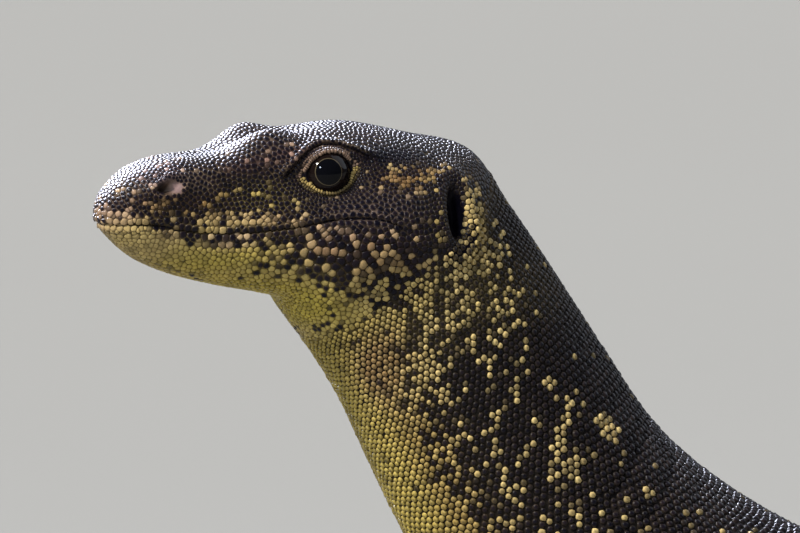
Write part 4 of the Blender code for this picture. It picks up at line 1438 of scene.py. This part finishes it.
def all_seeds(surface):
    """Every scale: where it grows, the way it lies, the way out of the skin there, its size and its kind."""
    draw = np.random.default_rng(7)
    head = head_seeds(surface, draw)
    rest = gathered([body_seeds()] + [limb for name in LEGS for limb in limb_seeds(name)])
    rest["at"], _, apart = surface.nearest(rest["at"])
    rest = picked(rest, apart < np.where(rest["kind"] == NECK_KIND, 1.3, 1.0) * MM)
    seeds = thinned(gathered([head, rest]))
    seeds = gathered([seeds, filling(seeds, surface, draw)])
    seeds["at"], seeds["normal"], _ = surface.nearest(seeds["at"])
    seeds["lie"] = unit(seeds["lie"] - seeds["normal"] * dot(seeds["lie"], seeds["normal"])[:, None])
    return seeds


# ---------------------------------------------------------------- the scales as solid mesh

NEIGHBOURS = 11
FARTHEST, LEAST_FACING = 9.0, 0.06  # the most a scale reaches, and how nearly a neighbour must face a way
LONGEST, LID_LONGEST = 0.85, 1.6  # the longest reach of a scale and of a lid's bead, as shares of its size
KEEL_WIDTH = 0.35  # as a share of a scale's mean reach
ROOT_SINK = 0.18  # millimetres a scale's edge lies under the skin
PATCH_WIDTH = 0.003  # the width of a scale's patch on the unwrap

# Kinds of scale: how far its corners are rounded off (1 is a full round), how high it stands as a share of
# its size, the gap round it, how far its back edge is raised and how sharp its keel is.
KINDS = (
    ("head", 1.42, 0.19, 0.03, 0.03, 0.0),
    ("lip", 1.6, 0.17, 0.02, 0.0, 0.0),
    ("lid", 2.4, 0.34, 0.03, 0.0, 0.0),
    ("neck", 1.10, 0.30, 0.09, 0.05, 0.0),
    ("leg", 1.2, 0.22, 0.06, 0.10, 0.10),
    ("toe", 1.35, 0.18, 0.05, 0.10, 0.0),
    ("trunk", 1.12, 0.24, 0.06, 0.09, 0.16),
    ("belly", 1.5, 0.12, 0.05, 0.06, 0.0),
    ("tail", 1.6, 0.20, 0.05, 0.12, 0.14),
)
KIND_VALUES = np.array([row[1:] for row in KINDS])
PROFILES = {  # the rings of a scale from its sunk edge in: how far out each is and its share of the height
    "fine": ((1.0, None), (0.89, 0.58), (0.56, 0.94)),
    "plain": ((1.0, None), (0.68, 0.80)),
}
PIT_SHADE_SHARE = 0.5  # how much of its paleness a body scale keeps at its middle; the rest is painted shade for a pit the mesh lacks
LEG_STRIP, TOE_STRIP = 0.25, 0.046  # the widths on the unwrap of a leg with its toes, and of each toe
SEAM_JUMP, SEAM_STEP = 0.03, 0.0004  # how far apart a face's corners may be there, and are put if torn
LIMB_ORDER, LEG_ORDER = 10000.0, 2000.0  # added to distances on a limb, so that the legs come after the body


def outlines(seeds, sides):
    """How far each scale reaches each way: to its share of the way to its neighbours."""
    near = near_indices(seeds["at"], seeds["at"], NEIGHBOURS)[:, 1:]
    away = (seeds["at"][near] - seeds["at"][:, None]) / MM
    x, y = (dot(away, way[:, None]) for way in (seeds["lie"], np.cross(seeds["normal"], seeds["lie"])))
    apart = np.maximum(np.linalg.norm(away, axis=2), 1e-3)
    limits = seeds["size"][:, None] / (seeds["size"][:, None] + seeds["size"][near]) * apart
    level = np.maximum(np.hypot(x, y), 1e-3)
    turns = full_turn(sides)
    reach = np.full((len(near), sides), FARTHEST)
    for k in range(near.shape[1]):
        facing = (x[:, k, None] * np.cos(turns) + y[:, k, None] * np.sin(turns)) / level[:, k, None]
        limit = limits[:, k, None] / np.maximum(facing, LEAST_FACING)
        reach = np.minimum(reach, np.where(facing > LEAST_FACING, limit, FARTHEST))
    longest = np.where(seeds["kind"] == LID_KIND, LID_LONGEST, LONGEST) * seeds["size"]
    return np.minimum(reach, longest[:, None])


def scale_points(seeds, sides, rings):
    """Each scale's points: its rings from the sunk edge in, their corners rounded off, and then its top."""
    kinds, sizes = KIND_VALUES[seeds["kind"]], seeds["size"][:, None]
    lie, normal = seeds["lie"][:, None], seeds["normal"][:, None]
    across = np.cross(normal, lie)
    least = np.sort(seeds["reach"], axis=1)[:, 1:2]
    reach = np.minimum(seeds["reach"], least * kinds[:, 0:1]) * (1 - kinds[:, 2:3])
    height = sizes * kinds[:, 1:2] * seeds["lift"][:, None]
    half_keel = KEEL_WIDTH * reach.mean(axis=1)[:, None]
    points = []
    for out, share in rings:
        x = reach * out * np.cos(full_turn(sides))
        y = reach * out * np.sin(full_turn(sides))
        if share is None:
            rise = np.full(x.shape, -ROOT_SINK)
        else:
            keel = kinds[:, 4:5] * sizes * np.maximum(1 - np.abs(y) / half_keel, 0)
            rise = height * share + kinds[:, 3:4] * x + keel * 0.6
        points.append(x[..., None] * lie + y[..., None] * across + rise[..., None] * normal)
    points.append((height + kinds[:, 4:5] * sizes)[..., None] * normal)
    points = seeds["at"][:, None] + np.concatenate(points, axis=1) * MM
    points[:, :, 2] = np.maximum(points[:, :, 2], FLOOR)
    return points


def scale_mesh(name, seeds, sides, profile):
    """One joined mesh of scales, low bosses with sunk edges, with their markings and their unwrap."""
    rings = PROFILES[profile]
    points = scale_points(seeds, sides, rings)
    count, each = points.shape[:2]
    i, last = np.arange(sides), (len(rings) - 1) * sides
    fans = np.stack([last + i, last + (i + 1) % sides, np.full(sides, last + sides)], axis=1)
    start = (np.arange(count) * each)[:, None, None]
    quads = (start + ring_quads(len(rings), sides)).reshape(-1, 4)
    mesh = new_mesh(name, points.reshape(-1, 3), quads, (start + fans).reshape(-1, 3))
    rim = np.append(np.repeat([out for out, _ in rings], sides), 0.0)
    bloom = np.clip((rim - seeds["bloom"][:, None]) / (0.97 - seeds["bloom"][:, None]), 0, 1)
    pale = seeds["pale"][:, None] * (1 - bloom) + seeds["pale_rim"][:, None] * bloom
    # Painted shade: the top of a body scale is darkened, for a pit that the mesh does not have.
    pale[:, -1] *= np.where(seeds["bloom"] < 0.5, PIT_SHADE_SHARE, 1)
    add_values(mesh, "pale", pale.ravel())
    add_values(mesh, "rim", np.tile(rim, count))
    for word in ("brown", "yellow", "flesh", "tone"):
        add_values(mesh, word, np.repeat(seeds[word], each))
    low, high = seeds["unwrap"].min(axis=0), seeds["unwrap"].max(axis=0)
    root = (seeds["unwrap"] - low) / (high - low) * (1 - PATCH_WIDTH) + PATCH_WIDTH / 2
    around = columns(np.cos(full_turn(sides)), np.sin(full_turn(sides)))
    offsets = np.concatenate([*(around * out * PATCH_WIDTH / 2 for out, _ in rings), np.zeros((1, 2))])
    add_unwrap(mesh, (root[:, None] + offsets).reshape(-1, 2))
    return mesh


def add_unwrap(mesh, per_point):
    """The map named OFBake, from a place for each point."""
    layer = mesh.uv_layers.new(name="OFBake")
    corners = read_values(mesh.loops, "vertex_index")
    layer.uv.foreach_set("vector", np.asarray(per_point, np.float32)[corners].ravel())
    return layer


def unwrap(places):
    """The skin's unwrap: the body laid out along its length with its seam below, and each limb in a strip."""
    body_u = np.interp(places.along, (0, HEAD_REACH, length_of("chest"), BODY_LENGTH), (0.0, 0.22, 0.42, 1.0))
    body = columns(body_u, 0.60 + 0.38 * places.angle / math.pi)
    leg_u = LEG_STRIP * places.leg + 0.002 * places.along * 0.55
    leg = columns(leg_u, 0.155 + 0.05 * places.angle / math.pi)
    toe_u = LEG_STRIP * places.leg + TOE_STRIP * np.mod(places.part - 5, 5) + 0.0007 * places.along
    toe = columns(toe_u, 0.05 + 0.035 * places.angle / math.pi)
    part = places.part[:, None]
    return np.clip(np.where(part == 0, body, np.where(part <= len(LEGS), leg, toe)), 0, 1)


def unwrap_skin(mesh, places):
    """Gives the skin its unwrap, closing each face on the side of the seam that it starts on."""
    spots = unwrap(places)
    layer = add_unwrap(mesh, spots)
    corners, starts = read_values(mesh.loops, "vertex_index"), read_values(mesh.polygons, "loop_start")
    first = np.repeat(corners[starts], np.diff(np.append(starts, len(corners))))
    here, anchor = spots[corners], spots[first]
    torn = (np.abs(here - anchor).max(axis=1) > SEAM_JUMP) | (places.part[corners] != places.part[first])
    here = np.where(torn[:, None], anchor + SEAM_STEP * np.sign(here - anchor), here)
    layer.uv.foreach_set("vector", here.astype(np.float32).ravel())


def mark_seeds(seeds, draw):
    """Adds each scale's markings, its height, its place on the unwrap and its order from the head back."""
    places = Places(seeds["at"])
    values = markings(places)
    count = len(values)
    head = (places.along < HEAD_REACH) & (places.part == 0)
    jaw = patch(places.both, *SMOOTH_JAW) * head
    luck = 0.4 * wave_field(places.flat, 9.0, 5) + 0.6 * draw.random(count)
    fine_luck = 0.42 * wave_field(places.flat, 5.5, 6) + 0.58 * draw.random(count)
    broad_luck = 0.8 * wave_field(places.flat, 12.0, 8) + 0.2 * draw.random(count)
    fine_luck += np.minimum(1.5 * jaw, 1) * (broad_luck - fine_luck)
    pale = pale_of(values, np.where(head, fine_luck, luck))
    seeds["bloom"] = np.where(head, 0.87, 0.45)
    seeds["pale"] = pale * (0.80 + 0.2 * draw.random(count))
    on_body = ~head & (places.part == 0) & (places.low < 0.78)
    seeds["pale_rim"] = np.maximum(seeds["pale"] * np.where(on_body, 1.2, 0.9), values[:, 1] * 0.9)
    seeds["pale"] = np.where(on_body, seeds["pale"] * 0.78, seeds["pale"])
    seeds["brown"] = values[:, 2] + 0.25 * (draw.random(count) - 0.5)
    seeds["yellow"], seeds["flesh"] = values[:, 3], values[:, 4]
    seeds["tone"] = draw.random(count)
    seeds["lift"] = (1 + 0.22 * (draw.random(count) - 0.5) + 0.25 * pale * on_body) * (1 - 0.6 * jaw)
    mark_lids(seeds, places.both)
    seeds["unwrap"] = unwrap(places)
    seeds["along"] = places.along + LIMB_ORDER * (places.part > 0) + LEG_ORDER * np.maximum(places.leg, 0)
    trunk = (seeds["kind"] == NECK_KIND) & (places.along > length_of("shoulder"))
    belly = trunk & (places.low > 0.76)
    tail = trunk & (places.along > length_of("vent") + 20)
    seeds["kind"] = np.select([tail, belly, trunk], [TAIL_KIND, BELLY_KIND, TRUNK_KIND], seeds["kind"])
    return seeds


def mark_lids(seeds, both):
    """Colours the lids: pinkish brown above; below, a golden row at the edge, then darker ones."""
    lid = seeds["kind"] == LID_KIND
    aside, upward, _, ring = eye_offsets(both)
    away = np.hypot(aside, upward) * (1 - 1 / ring)
    upper = lid & (upward > -0.3)
    above = np.interp(away, (1.7, 2.0, 3.0), (0.75, 0.45, 0.15))
    below = np.interp(away, (1.5, 1.8, 2.7), (0.95, 0.35, 0.1))
    share = np.where(upper, above, below)
    changes = (
        ("pale", share, share), ("pale_rim", share * 0.5, share * 0.5), ("bloom", 0.6, 0.6),
        ("brown", 0.75, 0.55), ("yellow", 0.0, 0.3), ("flesh", 0.3, 0.0),
    )
    for word, above, below in changes:
        seeds[word] = np.select([upper, lid], [above, below], seeds[word])


# ---------------------------------------------------------------- eyes and claws

GAZE = unit(np.array((-0.26, 0.95, 0.20)))
CORNEA_TURN, CORNEA_RISE = 46.0, 0.35  # how far from its pole the cornea reaches, in degrees, and its height
EYE_SIDES, CLAW_SIDES, CLAW_RINGS = 96, 16, 18
RAY_SCALE, STREAK_SCALE = 900.0, 700.0  # how many of the iris's rays and of the claws' streaks in a metre
OUTER_FROM, OUTER_FULL, OUTER_TINT = 52.0, 62.0, (0.004, 0.003, 0.004)  # the dark outer part of the eyeball


def eye_mesh(name, side):
    """An eyeball with a raised cornea, whose points keep their turn from its pole, which faces the gaze."""
    turns = np.concatenate([np.linspace(0, 60, 61)[1:], np.linspace(62, 178, 30)])
    around = full_turn(EYE_SIDES)
    gaze = GAZE * (1, side, 1)
    across = unit(np.cross(gaze, (0, 0, 1)))
    up = np.cross(across, gaze)
    tilt = np.radians(turns)[:, None, None]
    rise = CORNEA_RISE * np.maximum(1 - (turns / CORNEA_TURN) ** 2, 0) ** 1.5
    ways = np.cos(around)[None, :, None] * across + np.sin(around)[None, :, None] * up
    shell = (np.cos(tilt) * gaze + np.sin(tilt) * ways) * (EYE_RADIUS + rise)[:, None, None]
    points, quads, fans = tube(shell)
    points[-2:] = gaze * (EYE_RADIUS + CORNEA_RISE), -gaze * EYE_RADIUS
    mesh = new_mesh(name, place(points + EYE_AT * (1, side, 1)), quads, fans)
    if side < 0:
        mesh.flip_normals()
    add_values(mesh, "turn", np.append(np.repeat(turns, EYE_SIDES), (0, 180)))
    return mesh


def eye_finish(settings):
    """A glossy dark eye: a wide pupil, a thin bright ring round it and a deep brown iris with fine rays."""
    made = fresh(bpy.data.materials, "eye")
    graph = Graph(made)
    turn, edge = graph.read("turn"), settings.pupil
    rays = graph.noise(RAY_SCALE, 3.0, 0.7)
    iris = graph.mix((turn - edge - 2).eased(0.0, 16.0), settings.iris, settings.iris_edge)
    iris = graph.mix((rays - 0.35).clamped(), iris, settings.ray)
    ring = turn.eased(edge - 0.5, edge + 0.3) * (1 - turn.eased(edge + 0.8, edge + 2.2))
    tint = graph.mix(turn.eased(edge - 1.2, edge - 0.2), settings.pupil_colour, iris)
    tint = graph.mix(ring * 0.9, tint, settings.ring)
    tint = graph.mix(turn.eased(OUTER_FROM, OUTER_FULL), tint, OUTER_TINT)
    graph.surface({
        "Base Color": tint, "Roughness": 0.4, "Specular IOR Level": 0.0, "Coat Weight": 0.42,
        "Coat Roughness": 0.02, "Coat IOR": 1.38,
    })
    return made


def claw_mesh(name, leg):
    """The five claws of a foot: curved, flat from side to side and sharp, each set a little into its toe."""
    parts, shares = [], np.linspace(-0.10, 1, CLAW_RINGS)
    curve = CLAW_ARCH * np.sin(math.pi * shares) - CLAW_DROP * shares**2
    radii = CLAW_RADIUS * (1 - np.clip(shares, 0, 1)) ** 0.6 * 0.97 + CLAW_POINT
    radii = np.minimum(radii, CLAW_RADIUS)
    for _, points, ahead, across in toe_lines(leg):
        way = unit(points[-1] - points[-2])
        line = points[-1] + way * 0.3 + np.outer(CLAW_LENGTH * shares, ahead)
        line[:, 2] += curve
        rings = line_rings(line, radii * 0.72, radii, CLAW_SIDES, across, way)
        parts.append(tube(place_rings(rings, leg_root(leg))))
    mesh = new_mesh(name, *joined(parts))
    add_values(mesh, "out", np.tile(np.append(np.repeat(shares, CLAW_SIDES), (shares[0], 1.0)), len(parts)))
    return mesh


def claw_finish(settings):
    """Dull horn with fine streaks along it, darker toward the tip."""
    made = fresh(bpy.data.materials, "claw")
    graph = Graph(made)
    streaks = graph.noise(STREAK_SCALE, 3.0, 0.6)
    tint = graph.mix(graph.read("out").eased(0.0, 0.9), settings.claw_root, settings.claw_tip)
    tint = graph.mix((streaks - 0.4).clamped(), tint, settings.claw_root)
    rough, normal = 0.24 + streaks * 0.2, graph.bump(streaks, 0.2 * MM, 0.5)
    graph.surface({"Base Color": tint, "Roughness": rough, "Normal": normal, "Coat Weight": 0.3})
    return made


# ---------------------------------------------------------------- the studio

IMAGE_WIDE, IMAGE_HIGH = 800, 533
MM_PER_PIXEL = 0.298
SNOUT_PIXEL = (97, 228)  # where the snout tip's middle stands in the picture
LIGHT_SPREAD = math.radians(60)
KEY_TINT, RIM_TINT = (1.0, 0.96, 0.90), (0.78, 0.82, 1.0)
FILL_TINT, EYE_TINT = (0.86, 0.92, 1.0), (0.75, 0.84, 1.0)
FLOOR_RADIUS, FLOOR_HIGH, FLOOR_SIDES = 24.0, -0.0004, 96
FLOOR_CLOUD = (0.43, 0.43, 0.42)  # the floor's second colour, mixed in unevenly


def view_axes(azimuth, elevation):
    """The camera's right, up and back for an angle round the lizard and above the floor."""
    turn, tilt = math.radians(azimuth), math.radians(elevation)
    right = Vector((math.cos(turn), math.sin(turn), 0))
    back = Vector((math.sin(turn) * math.cos(tilt), -math.cos(turn) * math.cos(tilt), math.sin(tilt)))
    return right, back.cross(right), back


def add_camera(studio):
    right, up, back = view_axes(studio.azimuth, studio.elevation)
    snout = Vector(place([(0, 0, 262.0)])[0])
    aside = (IMAGE_WIDE / 2 - SNOUT_PIXEL[0]) * MM_PER_PIXEL * MM
    down = (IMAGE_HIGH / 2 - SNOUT_PIXEL[1]) * MM_PER_PIXEL * MM
    middle = snout + right * aside - up * down
    data = bpy.data.cameras.new("camera")
    data.sensor_width = 36.0
    data.lens = data.sensor_width * studio.distance / (IMAGE_WIDE * MM_PER_PIXEL * MM)
    data.clip_start, data.clip_end = 0.05, 60.0
    camera = new_object("camera", data)
    axes = Matrix((right, up, back)).transposed().to_4x4()
    camera.matrix_world = Matrix.Translation(middle + back * studio.distance) @ axes
    bpy.context.scene.camera = camera
    return middle, right, back


def add_light(name, kind, way, power, tint):
    data = bpy.data.lights.new(name, kind)
    data.energy, data.color = power, tint
    light = new_object(name, data)
    light.rotation_euler = way.to_track_quat("Z", "Y").to_euler()
    return light


def add_sun(name, way, angle, power, tint):
    add_light(name, "SUN", way, power, tint).data.angle = math.radians(angle)


def add_disk(name, target, way, distance, size, power, tint):
    light = add_light(name, "AREA", way, power, tint)
    light.data.shape, light.data.size, light.data.spread = "DISK", size, LIGHT_SPREAD
    light.location = target + way.normalized() * distance
    return light


def floor_finish(studio):
    made = fresh(bpy.data.materials, "floor")
    graph = Graph(made)
    tint = graph.mix((graph.noise(1.5) - 0.3).clamped() * 0.2, studio.floor, FLOOR_CLOUD)
    graph.surface({"Base Color": tint, "Roughness": 0.8, "Specular IOR Level": 0.0})
    return made


def add_world(studio):
    world = bpy.data.worlds.new("studio")
    bpy.context.scene.world = world
    world.use_nodes = True
    background = world.node_tree.nodes["Background"]
    background.inputs["Color"].default_value = (*studio.sky, 1.0)
    background.inputs["Strength"].default_value = studio.sky_power


def add_studio(studio):
    """The floor, the soft lights, the pale surroundings and the camera."""
    middle, right, back = add_camera(studio)
    turns = full_turn(FLOOR_SIDES)
    edge = columns(np.cos(turns) * FLOOR_RADIUS, np.sin(turns) * FLOOR_RADIUS, FLOOR_HIGH)
    mesh = new_mesh("floor", edge, np.arange(FLOOR_SIDES)[None])
    mesh.materials.append(floor_finish(studio))
    new_object("floor", mesh)
    up = Vector((0, 0, 1))
    add_sun("key_light", up - right * 0.8 + back * 0.6, 8.0, studio.key_power, KEY_TINT)
    add_sun("fill_light", up * 0.8 + right * 0.8 - back * 0.6, 60.0, studio.fill_power, FILL_TINT)
    crown, behind = middle + (up - right) * 0.03, up - right * 0.72 - back * 0.8
    rim_light = add_disk("rim_light", crown, behind, 1.5, 1.6, studio.rim_power, RIM_TINT)
    rim_light.visible_diffuse = False
    in_front = up * 0.50 - right * 0.40 + back * 0.77
    add_disk("eye_light", middle, in_front, 1.3, 0.16, studio.eye_power, EYE_TINT)
    add_world(studio)
    bpy.context.scene.view_settings.view_transform = "Standard"


# ---------------------------------------------------------------- settings a user would change

SHARE = {"min": 0.0, "max": 1.0}


def colour_setting(name, description, default):
    return bpy.props.FloatVectorProperty(name=name, description=description, subtype="COLOR", default=default)


def number_setting(name, description, default, **more):
    return bpy.props.FloatProperty(name=name, description=description, default=default, **more)


class LizardMarkings(bpy.types.PropertyGroup):
    dark: colour_setting("Dark", "Colour of the dark scales", (0.0035, 0.0035, 0.010))
    dark_brown: colour_setting("Dark brown", "The browner end of the dark scales", (0.016, 0.009, 0.010))
    pale: colour_setting("Cream", "Colour of the cream beads and rims", (0.70, 0.53, 0.23))
    brown: colour_setting("Brown", "Colour of the brown scales", (0.20, 0.10, 0.045))
    yellow: colour_setting("Yellow", "Colour of the yellow scales", (0.48, 0.37, 0.055))
    flesh: colour_setting(
        "Flesh", "Colour of the pinkish net, the nostrils and the upper lids", (0.50, 0.33, 0.32))


class LizardHide(bpy.types.PropertyGroup):
    roughness: number_setting("Roughness", "How dull the scales are", 0.22, subtype="FACTOR", **SHARE)
    wrinkles: number_setting("Wrinkles", "Height of the finest wrinkles, in millimetres", 0.06, **SHARE)
    sheen: number_setting("Scale gloss", "How glossy the scales' tops are", 0.8, subtype="FACTOR", **SHARE)


class LizardEyes(bpy.types.PropertyGroup):
    pupil: number_setting(
        "Pupil", "Half width of the pupil, in degrees of the eyeball", 29.0, min=10.0, max=45.0)
    pupil_colour: colour_setting("Pupil colour", "Colour of the pupil", (0.002, 0.002, 0.003))
    ring: colour_setting("Ring", "Colour of the ring round the pupil", (0.10, 0.08, 0.045))
    iris: colour_setting("Iris", "Colour of the iris by the ring", (0.006, 0.0035, 0.003))
    iris_edge: colour_setting("Iris edge", "Colour of the iris at its edge", (0.003, 0.0025, 0.003))
    ray: colour_setting("Rays", "Colour of the iris's rays", (0.020, 0.010, 0.006))


class LizardClaws(bpy.types.PropertyGroup):
    claw_root: colour_setting("Root", "Colour at a claw's root", (0.070, 0.052, 0.040))
    claw_tip: colour_setting("Tip", "Colour at a claw's tip", (0.018, 0.014, 0.012))


class LizardStudio(bpy.types.PropertyGroup):
    azimuth: number_setting("Camera turn", "Angle of the camera round the lizard, in degrees", 177.0)
    elevation: number_setting("Camera height", "Angle of the camera above the level, in degrees", 9.0)
    distance: number_setting("Camera distance", "How far the camera stands back", 3.0, unit="LENGTH")
    floor: colour_setting("Floor", "Colour of the floor", (0.38, 0.38, 0.372))
    sky: colour_setting("Surroundings", "Colour of the surroundings", (0.70, 0.80, 1.0))
    sky_power: number_setting("Surroundings' light", "Strength of the light from the surroundings", 0.16)
    key_power: number_setting("Key light", "Strength of the light above and in front", 4.5)
    rim_power: number_setting(
        "Rim light", "Power of the light behind, which only makes highlights", 118.0, unit="POWER")
    fill_power: number_setting("Fill light", "Strength of the soft light on the far side", 1.2)
    eye_power: number_setting("Eye light", "Power of the light that the eye mirrors", 0.7, unit="POWER")


# ---------------------------------------------------------------- operators

SKIN_NODES = (
    "head", "lower_jaw", "neck_upper", "neck_lower", "shoulders", "trunk_front", "trunk_rear", "pelvis",
    *[f"tail_{k}" for k in range(1, 7)],
    *[f"{word}_{leg}" for leg in LEGS for word in ("upper_leg", "lower_leg", "foot")],
)
COAT_LIMIT = 185000  # triangles in one piece of the coat
COAT = {}


def add_piece(name, mesh, material, nodes=()):
    mesh.materials.append(material)
    piece = new_object(name, mesh)
    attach(piece, "root")
    if nodes:
        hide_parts(*nodes)
    return piece


class LIZARD_OT_skin(bpy.types.Operator):
    """Makes the one skin that stands for all the solids of flesh"""

    bl_idname = "lizard.skin"
    bl_label = "Skin"

    def execute(self, context):
        scene = context.scene
        mesh = build_skin()
        surface = Surface(mesh)
        COAT["surface"] = surface
        for word, values in skin_values(surface.places).items():
            add_values(mesh, word, values)
        unwrap_skin(mesh, surface.places)
        finish = hide_finish("skin", scene.lizard_markings, scene.lizard_hide, 0.3)
        add_piece("skin", mesh, finish, SKIN_NODES)
        return {"FINISHED"}


class LIZARD_OT_eyes(bpy.types.Operator):
    """Makes the two eyeballs"""

    bl_idname = "lizard.eyes"
    bl_label = "Eyes"

    def execute(self, context):
        finish = eye_finish(context.scene.lizard_eyes)
        for side, word in ((1, "left"), (-1, "right")):
            name = "eyeball_" + word
            add_piece(name, eye_mesh(name, side), finish, ["eye_" + word])
        return {"FINISHED"}


class LIZARD_OT_claws(bpy.types.Operator):
    """Makes the claws of each foot"""

    bl_idname = "lizard.claws"
    bl_label = "Claws"

    def execute(self, context):
        finish = claw_finish(context.scene.lizard_claws)
        for leg in LEGS:
            name = "claws_" + leg
            nodes = [f"claw_{leg}_{k}" for k in range(1, 6)]
            add_piece(name, claw_mesh(name, leg), finish, nodes)
        return {"FINISHED"}


class LIZARD_OT_scales(bpy.types.Operator):
    """Grows the scales over the skin, in pieces from the head back"""

    bl_idname = "lizard.scales"
    bl_label = "Scales"

    def execute(self, context):
        scene = context.scene
        if "surface" not in COAT:
            raise RuntimeError("the skin has to be made before its scales")
        seeds = mark_seeds(all_seeds(COAT["surface"]), np.random.default_rng(21))
        finish = hide_finish("scales", scene.lizard_markings, scene.lizard_hide, scene.lizard_hide.sheen)
        along, shoulder, vent = seeds["along"], length_of("shoulder"), length_of("vent")
        groups = (
            ("head", along < HEAD_REACH, 10, "fine"),
            ("neck", (along >= HEAD_REACH) & (along < shoulder), 8, "fine"),
            ("trunk", (along >= shoulder) & (along < vent), 7, "plain"),
            ("tail", (along >= vent) & (along < LIMB_ORDER / 2), 7, "plain"),
            ("legs", along > LIMB_ORDER / 2, 7, "plain"),
        )
        reaches = {sides: outlines(seeds, sides) for sides in (7, 8, 10)}
        for word, chosen, sides, profile in groups:
            seeds["reach"] = reaches[sides]
            self.grow(word, seeds, np.flatnonzero(chosen), sides, profile, finish)
        return {"FINISHED"}

    def grow(self, word, seeds, chosen, sides, profile, finish):
        each = sides * (2 * len(PROFILES[profile]) - 1)
        pieces = math.ceil(len(chosen) * each / COAT_LIMIT)
        chosen = chosen[np.argsort(seeds["along"][chosen], kind="stable")]
        for k, part in enumerate(np.array_split(chosen, pieces)):
            name = f"scales_{word}_{k + 1}"
            mesh = scale_mesh(name, {key: seeds[key][part] for key in seeds}, sides, profile)
            add_piece(name, mesh, finish)


class LIZARD_OT_studio(bpy.types.Operator):
    """Sets up the floor, the lights and the camera"""

    bl_idname = "lizard.studio"
    bl_label = "Studio"

    def execute(self, context):
        add_studio(context.scene.lizard_studio)
        return {"FINISHED"}


class LIZARD_PT_panel(bpy.types.Panel):
    bl_label = "Water monitor lizard"
    bl_space_type = "VIEW_3D"
    bl_region_type = "UI"
    bl_category = "Lizard"

    def draw(self, context):
        scene = context.scene
        for operator, group in STEPS:
            self.layout.operator(operator)
            if group:
                box = self.layout.box()
                for word in getattr(scene, group).bl_rna.properties.keys():
                    if word not in ("rna_type", "name"):
                        box.prop(getattr(scene, group), word)


GROUPS = {
    "lizard_markings": LizardMarkings,
    "lizard_hide": LizardHide,
    "lizard_eyes": LizardEyes,
    "lizard_claws": LizardClaws,
    "lizard_studio": LizardStudio,
}
STEPS = (
    ("lizard.studio", "lizard_studio"),
    ("lizard.skin", "lizard_markings"),
    ("lizard.scales", "lizard_hide"),
    ("lizard.eyes", "lizard_eyes"),
    ("lizard.claws", "lizard_claws"),
)
CLASSES = (
    LIZARD_OT_studio, LIZARD_OT_skin, LIZARD_OT_scales, LIZARD_OT_eyes, LIZARD_OT_claws, LIZARD_PT_panel,
)


def register():
    for name, group in GROUPS.items():
        bpy.utils.register_class(group)
        setattr(bpy.types.Scene, name, bpy.props.PointerProperty(type=group))
    for made in CLASSES:
        bpy.utils.register_class(made)


def unregister():
    for made in reversed(CLASSES):
        bpy.utils.unregister_class(made)
    for name, group in GROUPS.items():
        delattr(bpy.types.Scene, name)
        bpy.utils.unregister_class(group)


def main():
    register()
    bpy.ops.lizard.studio()
    bpy.ops.lizard.skin()
    bpy.ops.lizard.scales()
    bpy.ops.lizard.eyes()
    bpy.ops.lizard.claws()


if __name__ == "__main__":
    main()
